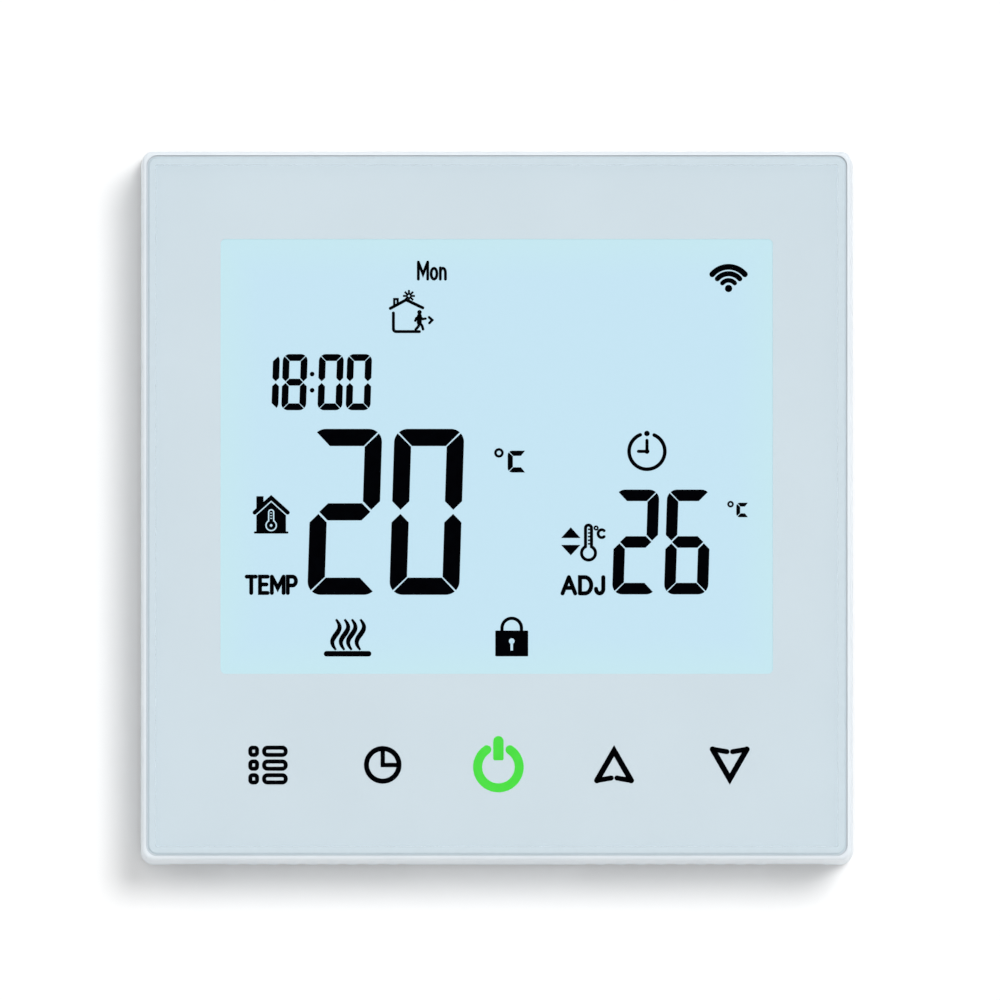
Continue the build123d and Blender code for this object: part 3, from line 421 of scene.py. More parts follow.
housing = dict(colour=(233, 240, 245), shade=(228, 236, 242), grain=2600.0, depth=0.012, rough=0.42)
film = dict(colour=(208, 223, 231), shade=(206, 221, 229), grain=1800.0, depth=0.003, rough=0.5)
# the lens's frosted border is painted light: its colour is the lit print's tone, covering the rim's shade on
# the print
lens = dict(colour=(0.9, 0.95, 1.0, 1.0), bend=1.3, rough=0.04, corner=1.1 * mm, edge=0.85 * mm,
            fade=1.0 * mm, paintedLightColour=(205, 220, 228))
display = dict(colour=(200, 232, 247), edge=(201, 235, 244), glow=0.7, border=4.5 * mm, wander=2.0 * mm)
looks = {
    "front_housing": mouldedPlastic("white_moulding", **housing),
    "face_mask": mouldedPlastic("printed_film", **film),
    "face_lens": cutSheet("clear_lens", "face_lens", **lens),
    "front_polariser": litSheet("front_polariser", **display),
}
print("front finishes made")


# Glue that shows in the gap between the lens and the rim, greyed as painted shade of the groove

seal = dict(gap=0.2, slack=0.01, below=0.45 * mm, deep=0.45 * mm)


def lensSeal():
    # one closed band along the middle of the gap
    low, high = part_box("face_lens")
    size, middle = (high - low) / mm, (low + high) / 2 / mm
    gap, corner = seal["gap"], lens["corner"] / mm
    path = roundedBox(size.x + gap, size.z + gap, corner + gap / 2, (middle.x, middle.z))
    return [strip(path, gap - 2 * seal["slack"], True)]


# the glue's grey is painted shade: it gives the groove between lens and rim its darkness
grooveShadeGlue = mouldedPlastic("grey_glue_painted_shade", (200, 208, 214), (195, 204, 210), 1500.0, 0.004, 0.4)
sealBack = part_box("face_lens")[0].y + seal["below"] + seal["deep"]
makePiece("lens_seal", lensSeal(), sealBack, seal["deep"], "front_unit", "white_housing", grooveShadeGlue)
print("lens seal made")


# Display and its figures

# lean in degrees, the middle gap as a share of a bar, and steps round a corner
figures = dict(lean=1.8, middle=0.24, steps=6, thick=0.05 * mm)
segments = {"0": "abcdef", "1": "bc", "2": "abged", "6": "acdefg", "8": "abcdefg"}
ink = inkPrint("display_ink", (3, 4, 7), (2, 2, 4))
backlit = inkPrint("backlit_mark", (200, 232, 247), (198, 230, 245), 0.7)


def figure(digit, left, row):
    # seven bars with slanting ends, whose outer corners are quarter circles, leaned by a shear along X
    width, height, bar = row["size"]
    slit, bend, steps = row["slit"], row["corner"] * bar, figures["steps"]
    half, gap = height / 2, figures["middle"] * bar / 2
    cut = np.degrees(slit / bend)
    topLeft = (bend, height - bend)
    topRight = (width - bend, height - bend)
    top = np.vstack([
        [(bar + slit, height - bar), (width - bar - slit, height - bar)],
        circle(bend, topRight, 45 + cut, 45 - cut, steps),
        circle(bend, topLeft, 90, 45 - cut, steps),
    ])
    upperLeft = np.vstack([
        circle(bend, topLeft, 135 + cut, 45 - cut, steps),
        [(0, half + bar / 2 + gap), (bar / 2, half + gap)],
        [(bar, half + bar / 2 + gap), (bar, height - bar - slit)],
    ])
    right = width - bar / 2 - slit
    centre = np.array([
        (bar / 2 + slit, half), (bar + slit, half - bar / 2), (right - bar / 2, half - bar / 2),
        (right, half), (right - bar / 2, half + bar / 2), (bar + slit, half + bar / 2),
    ])
    acrossX = lambda shape: (shape * [-1, 1] + [width, 0])[::-1]
    acrossZ = lambda shape: (shape * [1, -1] + [0, height])[::-1]
    shapes = {
        "a": top, "d": acrossZ(top), "g": centre, "f": upperLeft, "e": acrossZ(upperLeft),
        "b": acrossX(upperLeft), "c": acrossX(acrossZ(upperLeft)),
    }
    shear = np.tan(np.radians(figures["lean"]))
    leaned = [shapes[k] @ np.array([[1, 0], [shear, 1]]) + [left, row["base"]] for k in segments[digit]]
    return [plate(shape) for shape in leaned]


def numberRow(row):
    return [part for digit, left in zip(row["digits"], row["lefts"]) for part in figure(digit, left, row)]


# each row's left and base lines, a figure's width, height and bar, the cut between bars, and the outer corner
# as a share of a bar
clockRow = dict(digits="1800", lefts=(-29.26, -25.92, -21.57, -18.18), base=11.5,
                size=(2.98, 6.75, 0.82), slit=0.05, corner=1.0)
roomRow = dict(digits="20", lefts=(-22.78, -12.92), base=-10.7,
               size=(8.4, 19.95, 2.06), slit=0.1, corner=0.78)
setRow = dict(digits="26", lefts=(13.86, 20.1), base=-10.65,
              size=(5.3, 12.6, 1.38), slit=0.075, corner=0.88)
colon = dict(x=-22.2, heights=(13.9, 15.85), radius=0.28)


def bowl(x, z, wide, high, start, turn):
    # part of an oval: a circle's part stretched along X and Z
    return circle(1, (0, 0), start, turn, 14) * [wide, high] + [x, z]


letters = {  # each letter's width, and its lines, in a box one high
    "A": (0.9, [[(0, 0), (0.45, 1)], [(0.45, 1), (0.9, 0)], [(0.17, 0.34), (0.73, 0.34)]]),
    "D": (0.8, [np.vstack([[(0, 0), (0, 1)], bowl(0.35, 0.5, 0.45, 0.5, 90, -180), [(0, 0)]])]),
    "E": (0.62, [[(0.62, 1), (0, 1), (0, 0), (0.62, 0)], [(0, 0.52), (0.52, 0.52)]]),
    "J": (0.52, [np.vstack([[(0.52, 1)], bowl(0.26, 0.28, 0.26, 0.28, 0, -180)])]),
    "M": (0.95, [[(0, 0), (0, 1)], [(0, 1), (0.475, 0.3), (0.95, 1)], [(0.95, 1), (0.95, 0)]]),
    "P": (0.66, [np.vstack([[(0, 0), (0, 1)], bowl(0.38, 0.73, 0.28, 0.27, 90, -180), [(0, 0.46)]])]),
    "T": (0.74, [[(0, 1), (0.74, 1)], [(0.37, 1), (0.37, 0)]]),
    "n": (0.52, [[(0, 0), (0, 0.66)], np.vstack([bowl(0.26, 0.38, 0.26, 0.26, 180, -180), [(0.52, 0)]])]),
    "o": (0.6, [bowl(0.3, 0.32, 0.3, 0.32, 90, 350)]),
}


def lettering(text, width, height, bar, place, gap=0.34):
    # strokes of each letter side by side, stretched to a width and a height, and set by their middle
    wide = np.array([letters[key][0] for key in text])
    lefts = np.cumsum(wide + gap) - wide - gap
    total = lefts[-1] + wide[-1]
    size = np.array([(width - bar) / total, height - bar])
    lines = [(line, left) for key, left in zip(text, lefts) for line in letters[key][1]]
    paths = [np.asarray(line, float) + [left - total / 2, -0.5] for line, left in lines]
    return [stroke(path * size + place, bar) for path in paths]


def degreeSign(place, height, bar, slit=0.05):
    # a small ring, and beside it a letter of three bars whose outer corners are quarter circles
    ring = strip(circle(0.16 * height, (-0.8 * height, 0.4 * height)), 0.5 * bar, True)
    half, side, bend, steps = height / 2, 0.4 * height, 0.9 * bar, figures["steps"]
    cut, centre = np.degrees(slit / bend), (bend - side, half - bend)
    upper = np.vstack([[(bar + slit - side, half - bar), (side - 0.8 * bar, half - bar), (side, half)],
                       circle(bend, centre, 90, 45 - cut, steps)])
    turn = circle(bend, centre, 135 + cut, 45 - cut, steps)
    inner = [(bar - side, bar + slit - half), (bar - side, half - bar - slit)]
    upright = np.vstack([turn, (turn * [1, -1])[::-1], inner])
    lower = (upper * [1, -1])[::-1]
    return moved([ring] + [plate(shape) for shape in (upper, upright, lower)], place)


def roundDegreeSign(place, height, bar):
    # a small ring, and beside it a letter of one open oval
    letter = stroke(circle(1, (0, 0), 48, 264, 20) * [0.34 * height, 0.5 * height - bar / 2], bar)
    ring = strip(circle(0.16 * height, (-0.52 * height, 0.52 * height), steps=20), 0.6 * bar, True)
    return moved([letter, ring], place)


def thermometer(place, tube, bulb, length, width):
    # one outline: round top, straight sides and an open round bulb
    spread = np.degrees(np.arcsin(tube / bulb))
    top = circle(tube, (0, length), 0, 180, 12)
    foot = circle(bulb, (0, 0), 90 + spread, 360 - 2 * spread, 30)
    return moved([strip(np.vstack([top, foot]), width, True)], place)


def ticks(place, low, high, count, length, width):
    # short level bars at even heights
    heights = np.linspace(low, high, count)
    return moved([strip([(-length / 2, z), (length / 2, z)], width) for z in heights], place)


wireless = dict(start=41, turn=98, arcs=((0.98, 0.55), (1.78, 0.62), (2.6, 0.7)), dot=0.44)


def wirelessSign(place):
    # arcs of one fan about a dot, each with its radius and width
    fan = wireless["start"], wireless["turn"]
    arcs = [stroke(circle(radius, (0, 0), *fan, 24), width) for radius, width in wireless["arcs"]]
    return moved(arcs + [plate(circle(wireless["dot"]))], place)


timer = dict(radius=2.15, start=112, turn=314, line=0.44, hand=0.38, hub=0.3, dot=0.33)


def timerSign(place):
    # a ring open at the top round a dot, with two hands
    ring = stroke(circle(timer["radius"], (0, 0), timer["start"], timer["turn"], 60), timer["line"])
    hands = stroke([(-1.02, 0), (0, 0), (0, 1.32)], timer["hand"])
    dots = [plate(circle(timer["hub"])), plate(circle(timer["dot"], (0, timer["radius"])))]
    return moved([ring, hands] + dots, place)


heat = dict(swing=0.44, foot=0.72, rise=3.68, middle=0.5, tip=0.1, shifts=(-1.4, -0.37, 0.5, 1.53))


def heatSign(place):
    # four lines that wave once, sin of a full turn along their height, thickest in the middle, over a bar
    along = np.linspace(0, 1, 24)
    wave = np.stack([heat["swing"] * np.sin(-2 * np.pi * along), heat["foot"] + heat["rise"] * along], axis=1)
    width = heat["middle"] * np.sin(np.pi * (0.1 + 0.8 * along)) + heat["tip"]
    lines = [strip(wave + [shift, 0], width) for shift in heat["shifts"]]
    return moved(lines + [stroke([(-2.53, 0.26), (2.53, 0.26)], 0.66)], place)


padlock = dict(bow=1.17, line=0.4, body=(3.95, 3.1, 0.1), drop=-1.5)


def padlockSign(place):
    # a solid body under a bow of a half circle on two straight legs
    side = padlock["bow"]
    bow = np.vstack([[(side, 0)], circle(side, (0, 0.35), 0, 180, 24), [(-side, 0)]])
    body = roundedBox(*padlock["body"], (0, padlock["drop"]))
    return moved([strip(bow, padlock["line"]), plate(body)], place)


def homeSign(place, wall=1.78, eave=1.98):
    # a solid house under a thick roof line, with a chimney and a ground line
    roof = stroke([(-eave, -0.06), (0, 1.72), (eave, -0.06)], 0.5)
    walls = plate([(-wall, -2.5), (wall, -2.5), (wall, -0.4), (0, 1.2), (-wall, -0.4)])
    chimney = plate([(-wall, 0.25), (-0.92, 1.0), (-0.92, 1.9), (-wall, 1.9)])
    return moved([roof, walls, chimney, stroke([(-1.95, -2.46), (1.95, -2.46)], 0.26)], place)


leaving = dict(sun=(0.34, 2.4), sunRadius=0.25, ray=(0.36, 0.72), rayWidth=0.24)
walker = dict(  # each line of the walking figure, and the arrow head before it, with its width
    body=([(1.6, -0.02), (1.58, -0.8)], 0.6),
    frontArm=([(1.66, -0.06), (1.98, -0.38), (2.34, -0.33)], 0.29),
    rearArm=([(1.55, -0.06), (1.22, -0.28), (1.1, -0.58)], 0.29),
    rearLeg=([(1.55, -0.8), (1.5, -1.25), (1.16, -1.62)], 0.33),
    frontLeg=([(1.64, -0.8), (1.92, -1.2), (2.04, -1.6)], 0.33),
    arrow=([(2.76, -0.16), (3.14, -0.5), (2.8, -0.86)], 0.31),
)


def leavingSign(place):
    # house lines, a sun with eight rays, a walking figure and an arrow head
    lines = [stroke([(-1.9, 0.9), (0, 1.93), (2.0, 0.97)], 0.37)]
    corner = circle(0.34, (-1.19, -1.55), 180, 90, 8)
    lines.append(stroke(np.vstack([[(-1.53, 0.35)], corner, [(1.6, -1.89)]]), 0.36))
    lines.append(strip([(-1.43, 1.2), (-1.43, 2.02), (-1.02, 2.02), (-1.02, 1.4)], 0.28))
    sun, (near, far) = np.array(leaving["sun"]), leaving["ray"]
    rays = circle(1.0, (0, 0), 0, 360, 8)
    lines += [strip([sun + near * ray, sun + far * ray], leaving["rayWidth"]) for ray in rays]
    lines.append(strip(circle(leaving["sunRadius"], sun, steps=20), leaving["rayWidth"], True))
    lines += [stroke(path, width) for path, width in walker.values()]
    head = plate(circle(0.27, (1.61, 0.44)))
    return moved(lines + [head], place)


def adjustSign(place, side=1.16):
    # one triangle up and one down
    up = plate([(-side, 0.43), (side, 0.43), (0, 1.72)])
    down = plate([(side, -0.41), (-side, -0.41), (0, -1.66)])
    return moved([up, down], place)


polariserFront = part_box("front_polariser")[0].y
showing = dict(back=polariserFront, thick=figures["thick"], body="front_unit", slot="polariser", material=ink)
makePiece("clock_figures", numberRow(clockRow) + [
    plate(circle(colon["radius"], (colon["x"], height))) for height in colon["heights"]], **showing)
makePiece("room_figures", numberRow(roomRow), **showing)
makePiece("set_figures", numberRow(setRow), **showing)
places = dict(
    roomDegree=(2.36, 5.32), setDegree=(29.5, -0.5), wireless=(27.88, 26.15), timer=(18.06, 6.55),
    heat=(-17.93, -18.05), padlock=(1.8, -15.05), home=(-27.12, -0.75), leaving=(-10.9, 22.85),
    adjust=(8.9, -4.3), scale=(11.03, -5.68), scaleTicks=(11.14, -5.68), scaleDegree=(12.62, -3.35),
    homeScale=(-27.12, -2.36), keyhole=(1.8, -16.28),
)
scale = dict(tube=0.36, bulb=0.84, length=3.0, width=0.38)
scaleTicks = dict(low=1.1, high=2.85, count=5, length=0.36, width=0.2)
homeScale = dict(tube=0.3, bulb=0.62, length=1.58, width=0.15)
homeTicks = dict(low=0.85, high=1.5, count=3, length=0.26, width=0.09)
words = (
    dict(text="Mon", width=3.6, height=2.4, bar=0.34, place=(-7.8, 28.3)),
    dict(text="TEMP", width=6.4, height=2.44, bar=0.48, place=(-27.1, -9.5)),
    dict(text="ADJ", width=5.4, height=2.44, bar=0.5, place=(10.36, -9.56)),
)
signs = degreeSign(places["roomDegree"], 2.62, 0.62) + degreeSign(places["setDegree"], 1.74, 0.46)
signs += wirelessSign(places["wireless"]) + timerSign(places["timer"]) + heatSign(places["heat"])
signs += padlockSign(places["padlock"]) + homeSign(places["home"]) + leavingSign(places["leaving"])
signs += adjustSign(places["adjust"]) + thermometer(places["scale"], **scale)
signs += ticks(places["scaleTicks"], **scaleTicks) + roundDegreeSign(places["scaleDegree"], 1.3, 0.35)
makePiece("display_signs", signs, **showing)
makePiece("display_words", [part for entry in words for part in lettering(**entry)], **showing)
keyhole = moved([plate(circle(0.34)), strip([(0, 0), (0, -1.12)], 0.3)], places["keyhole"])
homeTube = thermometer(places["homeScale"], **homeScale) + [plate(circle(0.16, places["homeScale"]))]
makePiece("backlit_marks", keyhole + homeTube + ticks(places["homeScale"], **homeTicks),
          **{**showing, "thick": 1.4 * figures["thick"], "material": backlit})
print("display drawn")


# Touch signs, printed on the film behind the lens

def menuSign():
    # three rows of a small box and a long one, drawn as outlines
    rows, height = (1.63, -0.03, -1.68), 0.87
    boxes = [roundedBox(0.8, height, 0.26, (-1.61, z)) for z in rows]
    bars = [roundedBox(2.6, height, 0.4, (0.94, z)) for z in rows]
    return [strip(path, 0.48, True) for path in boxes + bars]


def clockSign():
    # a ring and two hands at a right angle
    return [strip(circle(1.96), 0.6, True), strip([(0, 1.9), (0, -0.02), (1.9, -0.02)], 0.52)]


def arrowSign(way, side=2.06, foot=-1.88):
    # two sides that meet in a point, and a base of two short bars with a gap between them
    half = np.array([(0.34, -1.58), (side, foot)])
    base = [stroke(half * [mirror, way], 0.6) for mirror in (-1, 1)]
    sides = np.array([(-side, foot), (0, 1.7), (side, foot)]) * [1, way]
    return base + [stroke(sides[::way], 0.68)]


def powerSign():
    # a ring open at the top, and in the gap an upright bar with a round head and a square foot
    half, foot, cut = 0.62, 0.55, 0.12
    head = circle(half, (0, 2.84), 0, 180, 16)
    left = [(-half, foot + cut), (cut - half, foot)]
    bar = np.vstack([head, left, [(half - cut, foot), (half, foot + cut)]])
    return [stroke(circle(2.5, (0, -0.26), 124, 292, 60), 1.08), plate(bar[::-1])]


keys = dict(pitch=13.9, up=-31.15, shift=0.2, thick=0.04 * mm)
keyPlaces = [(keys["pitch"] * step + keys["shift"], keys["up"]) for step in (-2, -1, 0, 1, 2)]
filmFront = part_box("face_mask")[0].y
printed = dict(back=filmFront, thick=keys["thick"], body="front_unit", slot="printed_film", material=ink)
darkSigns = zip((menuSign(), clockSign(), arrowSign(1), arrowSign(-1)), (0, 1, 3, 4))
makePiece("touch_signs", [part for sign, k in darkSigns for part in moved(sign, keyPlaces[k])], **printed)
green = inkPrint("lit_green", (84, 228, 76), (78, 224, 70), 0.8)
makePiece("power_sign", moved(powerSign(), keyPlaces[2]), **{**printed, "material": green})
print("touch signs drawn")


# Inside and rear finishes

whiteBox = dict(colour=(226, 229, 228), shade=(220, 224, 223), grain=2200.0, depth=0.02, rough=0.48)
blackPart = dict(colour=(38, 38, 41), shade=(32, 32, 35), grain=3200.0, depth=0.01, rough=0.5)
plating = dict(colour=(214, 216, 219), shade=(186, 188, 192), scale=700.0, stretch=(1, 1, 1), rough=0.3)
satin = dict(colour=(205, 208, 212), shade=(180, 184, 189), scale=500.0, stretch=(0.1, 1, 1), rough=0.34)
wire = dict(colour=(206, 206, 203), shade=(170, 170, 168), scale=900.0, stretch=(1, 1, 1), rough=0.28)
gold = dict(colour=(236, 204, 128), shade=(214, 176, 96), scale=900.0, stretch=(1, 0.1, 1), rough=0.25)
brass = dict(colour=(226, 193, 120), shade=(198, 160, 86), scale=800.0, stretch=(1, 1, 0.2), rough=0.3)
cage = dict(colour=(206, 204, 198), shade=(176, 173, 166), scale=600.0, stretch=(1, 0.2, 1), rough=0.36)
zinc = dict(colour=(206, 210, 213), shade=(184, 189, 194), spangle=260.0, rough=0.5)
board = dict(colour=(24, 96, 60), shade=(17, 78, 48), weave=1500.0)
leads = dict(reach=1.1 * mm, colour=(38, 38, 41), metal=(206, 207, 206))
resistor = dict(length=1.6 * mm, pitch=3.4 * mm, cap=0.3 * mm, colour=(32, 32, 35), metal=(206, 207, 206))

looks.update({
    "lcd_cell": clearSheet("display_glass", (0.85, 0.95, 0.95, 1.0), 1.45, 0.03),
    "lcd_pins": drawnMetal("tinned_metal", **plating),
    "rear_polariser": litSheet("rear_polariser", **display),
    "diffuser_film": mouldedPlastic("milky_film", (240, 242, 242), (236, 239, 240), 1500.0, 0.004, 0.6),
    "light_guide": clearSheet("light_guide", (0.92, 0.97, 1.0, 1.0), 1.45, 0.05),
    "reflector_film": mouldedPlastic("white_reflector", (244, 245, 246), (240, 242, 244), 1200.0, 0.003, 0.3),
    "backlight_tray": mouldedPlastic("white_tray", (238, 238, 235), (233, 234, 231), 2400.0, 0.015, 0.5),
    "backlight_lamps": inkPrint("lamp_case", (246, 236, 178), (240, 226, 150), 0.3),
    "main_board": varnishedBoard("control_board", **board),
    "touch_springs": drawnMetal("spring_wire", **wire),
    "wifi_shield": drawnMetal("pressed_can", **satin),
    "board_resistors": chipResistor("resistor_top", "board_resistors", **resistor),
    "controller_chip": leadedChip("leaded_chip", "controller_chip", **leads),
    "room_sensor": mouldedPlastic("dipped_bead", (30, 30, 30), (24, 24, 24), 900.0, 0.01, 0.2, 0.5),
    "front_socket": mouldedPlastic("black_moulding", **blackPart),
    "board_screws": drawnMetal("plated_screw", **plating),
    "mounting_plate": zincSheet("zinc_sheet", **zinc),
    "rear_housing": mouldedPlastic("white_box", **whiteBox),
    "header_pins": drawnMetal("gold_pin", **gold),
    "relay": mouldedPlastic("relay_case", (34, 66, 132), (30, 60, 124), 2600.0, 0.015, 0.36),
    "transformer_core": mouldedPlastic("ferrite", (72, 72, 74), (60, 60, 63), 1400.0, 0.03, 0.55),
    "transformer_winding": bandedWrap("winding_tape", (232, 186, 62), (214, 164, 44), 140.0, "Z", 0.32),
    "bulk_capacitor": bandedWrap("can_sleeve", (52, 60, 96), (46, 53, 88), 30.0, "X", 0.3),
    "film_capacitor": mouldedPlastic("film_case", (226, 178, 62), (219, 170, 54), 2200.0, 0.015, 0.34),
    "varistor": mouldedPlastic("dipped_coat", (52, 108, 186), (44, 98, 176), 700.0, 0.05, 0.24, 0.4),
    "fuse": mouldedPlastic("fuse_case", (66, 60, 58), (58, 53, 51), 2400.0, 0.015, 0.42),
    "terminal_block": mouldedPlastic("terminal_case", (44, 142, 96), (38, 132, 88), 2400.0, 0.02, 0.42),
    "terminal_contacts": drawnMetal("contact_brass", **brass),
})
clampSteel = drawnMetal("clamp_steel", **cage)
shared = {
    "key_lamps": "backlight_lamps", "wifi_board": "main_board", "power_board": "main_board",
    "clock_crystal": "wifi_shield", "touch_chip": "front_socket",
    "bridge_rectifier": "front_socket", "supply_chip": "front_socket", "pin_header": "front_socket",
    "plate_catches": "mounting_plate", "inner_cover": "rear_housing", "flange_screws": "board_screws",
    "cover_screws": "board_screws", "output_capacitor": "bulk_capacitor",
}
looks.update({node: looks[other] for node, other in shared.items()})
for node in nodes:
    if node.startswith("terminal_screw"):
        looks[node] = looks["board_screws"]
    if node.startswith("terminal_clamp"):
        looks[node] = clampSteel
for node, piece in nodes.items():
    piece.data.materials.clear()
    piece.data.materials.append(looks[node])
# clear sheets let light through: the print under the lens stays evenly lit
nodes["face_lens"].visible_shadow = False
nodes["face_lens"].visible_diffuse = False
print("finishes on", len(looks), "nodes")


# Copper tracks, solder and white outlines on the rear of the control board

copper = dict(width=0.34, cut=0.6, lane=0.8, fromChip=1.2, fromPad=1.0, fromCan=0.6, fromSide=1.4,
              shelf=9.0, thick=0.035 * mm)
touchRun = dict(inset=1.4, levels=(1.0, 1.8, 2.6, 3.4, 1.8))
pitches = dict(pin=2.3, pad=2.0, way=2.54)
resistorField = dict(columns=6, rows=3, halfWide=0.4)
solderDrop = dict(pinRadius=0.62, padRadius=0.4, viaRadius=0.45, pinHalf=0.11, padOut=0.1, rise=0.3 * mm)
outline = dict(width=0.14, clear=0.45, corner=0.2, small=(2.4, 1.5, 0.15), thick=0.02 * mm)


def boxInMm(node):
    return [np.array(corner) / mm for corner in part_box(node)]


def chamfered(path):
    # each inner corner is cut off at the same distance along both runs
    path = np.asarray(path, float)
    middle, back, ahead = path[1:-1], path[:-2] - path[1:-1], path[2:] - path[1:-1]
    first = middle + copper["cut"] * back / np.linalg.norm(back, axis=1, keepdims=True)
    second = middle + copper["cut"] * ahead / np.linalg.norm(ahead, axis=1, keepdims=True)
    return np.vstack([path[:1], np.stack([first, second], axis=1).reshape(-1, 2), path[-1:]])


def resistorSpots():
    # the columns' places along X and the rows' along Z, from the first resistor's middle
    first, pitch = boxInMm("board_resistors")[0], resistor["pitch"] / mm
    across = first[0] + resistor["length"] / mm / 2 + pitch * np.arange(resistorField["columns"])
    up = first[2] + resistorField["halfWide"] + pitch * np.arange(resistorField["rows"])
    return across, up


def boardTracks():
    # upright and level runs from lead to lead, one lane apart, so that none crosses another
    low, high = boxInMm("controller_chip")
    lane = copper["lane"] * np.arange(8)
    leadX = (low[0] + high[0]) / 2 + lane - np.mean(lane)
    leadZ = (low[2] + high[2]) / 2 + lane - np.mean(lane)

    # display pins, each with a slanting run down to its lead
    pinZ = boxInMm("lcd_pins")[1][2]
    pinX = pitches["pin"] * np.arange(5, 13)
    swing = abs(leadX - pinX)
    knee = high[2] + copper["fromChip"]
    routes = [[(p, pinZ), (p, knee + s), (x, knee), (x, high[2])] for p, s, x in zip(pinX, swing, leadX)]

    # radio module and clock crystal
    padX = boxInMm("wifi_board")[1][0]
    padZ = np.mean(boxInMm("wifi_board"), axis=0)[2] + pitches["pad"] * np.arange(-4, 1)
    bend = padX + copper["fromPad"]
    routes += [[(low[0], z), (bend + abs(z - end), z), (bend, end), (padX, end)]
               for z, end in zip(leadZ, padZ)]
    canX = boxInMm("clock_crystal")[1][0] + copper["fromCan"]
    routes += [[(low[0], z), (canX, z)] for z in leadZ[5:7]]

    # socket strip
    socketTop = boxInMm("front_socket")[1][2]
    ways = pitches["way"] * (np.arange(8) - 3.5)
    bus = low[2] - copper["fromChip"] - lane
    plug = [[(x, low[2]), (x, level), (way, level), (way, socketTop)]
            for x, level, way in zip(leadX, bus, ways)]

    # columns of resistors
    last = boxInMm("board_resistors")[1]
    columns = resistorSpots()[0]
    side = high[0] + copper["fromSide"] + lane
    shelf = last[2] + copper["shelf"] - lane
    field = [[(high[0], z), (x, z), (x, level), (column, level), (column, last[2])]
             for z, x, level, column in zip(leadZ, side, shelf, columns)]

    # touch keys: one via under each, the fourth straight above its lead
    touchLow, touchHigh = boxInMm("touch_chip")
    outX = np.linspace(touchLow[0] + touchRun["inset"], touchHigh[0] - touchRun["inset"], 5)
    levels = touchHigh[2] + np.array(touchRun["levels"])
    vias = [(keys["pitch"] * step, level) for step, level in zip(range(-2, 3), levels)]
    vias[3] = (outX[3], levels[3])
    touch = [[(x, touchHigh[2]), (x, via[1]), via] for x, via in zip(outX, vias) if x != via[0]]
    straight = [[(outX[3], touchHigh[2]), vias[3]]]

    paths = routes + [chamfered(path) for path in plug + field + touch] + straight
    return [strip(path, copper["width"]) for path in paths], vias


def drop(radius, place, rows=4, columns=12):
    # a quarter circle turned about the depth axis: radius times the cosine, and one thickness times the sine
    rise = np.radians(np.linspace(0, 78, rows))[:, None]  # short of 90, for a small flat top
    turn = np.radians(np.arange(columns) * 360 / columns)[None, :]
    grid = np.stack([radius * np.cos(rise) * np.cos(turn) + place[0], np.sin(rise) - 1 + 0 * turn,
                     radius * np.cos(rise) * np.sin(turn) + place[1]], axis=2)
    row, column = np.arange(rows - 1)[:, None] * columns, np.arange(columns)[None, :]
    after = (column + 1) % columns
    quads = np.stack([row + column, row + columns + column, row + columns + after, row + after], axis=2)
    ring = np.arange(columns)
    ends = [ring.tolist(), (ring[::-1] + row[-1] + columns).tolist()]
    return grid.reshape(-1, 3), quads.reshape(-1, 4).tolist() + ends


def boardOutlines():
    # thin white boxes round the components
    boxes = []
    for node in ("controller_chip", "touch_chip", "clock_crystal"):
        low, high = boxInMm(node)
        size = high - low + 2 * outline["clear"]
        boxes.append(roundedBox(size[0], size[2], outline["corner"], ((low + high) / 2)[[0, 2]]))
    across, up = resistorSpots()
    boxes += [roundedBox(*outline["small"], (x, z)) for x in across for z in up]
    return [strip(box, outline["width"], True) for box in boxes]


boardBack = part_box("main_board")[1].y
trackParts, viaSpots = boardTracks()
track = mouldedPlastic("varnished_track", (40, 126, 82), (34, 112, 72), 1500.0, 0.004, 0.3, 0.3)
makePiece("board_tracks", trackParts, boardBack + copper["thick"], copper["thick"], "front_unit",
          "circuit_board", track)
pinTop = boxInMm("lcd_pins")[1][2] - solderDrop["pinHalf"]
pinSpots = [(pitches["pin"] * step, pinTop) for step in range(-13, 14)]
moduleLow, moduleHigh = boxInMm("wifi_board")
padLine, padMiddle = moduleHigh[0] + solderDrop["padOut"], (moduleLow[2] + moduleHigh[2]) / 2
padSpots = [(padLine, padMiddle + pitches["pad"] * step) for step in range(-4, 5)]
drops = [drop(solderDrop["pinRadius"], spot) for spot in pinSpots]
drops += [drop(solderDrop["padRadius"], spot) for spot in padSpots]
drops += [drop(solderDrop["viaRadius"], spot) for spot in viaSpots]
makePiece("solder_joints", drops, boardBack + solderDrop["rise"], solderDrop["rise"], "front_unit",
          "tinned_metal", drawnMetal("solder", **plating))
makePiece("board_outlines", boardOutlines(), boardBack + outline["thick"], outline["thick"], "front_unit",
          "circuit_board", inkPrint("white_print", (234, 237, 235), (224, 228, 226)))
print("control board drawn")


# Printed numbers over the terminal screws, on the step at the rear of the power box

marks = dict(widths=(0.3, 1.3, 1.3, 1.3, 1.3, 1.3), height=2.1, above=4.1, outside=1.8 * mm, thick=0.16 * mm)
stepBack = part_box("terminal_block")[1].y + marks["outside"]
numbers = []
for number in range(1, 7):
    low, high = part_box(f"terminal_screw_{number}")
    points, faces = word(str(number), marks["widths"][number - 1], marks["height"], (0, 0))
    across, up = (low.x + high.x) / 2 / mm, (low.z + high.z) / 2 / mm
    numbers.append((points * [-1, -1, 1] + [across, 0, up + marks["above"]], faces))  # half a turn about Z
greyPrint = inkPrint("rear_print", (84, 88, 92), (76, 80, 84))
makePiece("terminal_numbers", numbers, stepBack, marks["thick"], "base", "white_box", greyPrint)
print("rear marks ready")


# Stage: a white wall with an opening for the power box, soft light from the upper right, camera in front

stageLook = dict(wall=0.4 * mm, opening=40.5 * mm, reach=3.0, lift=0.03)


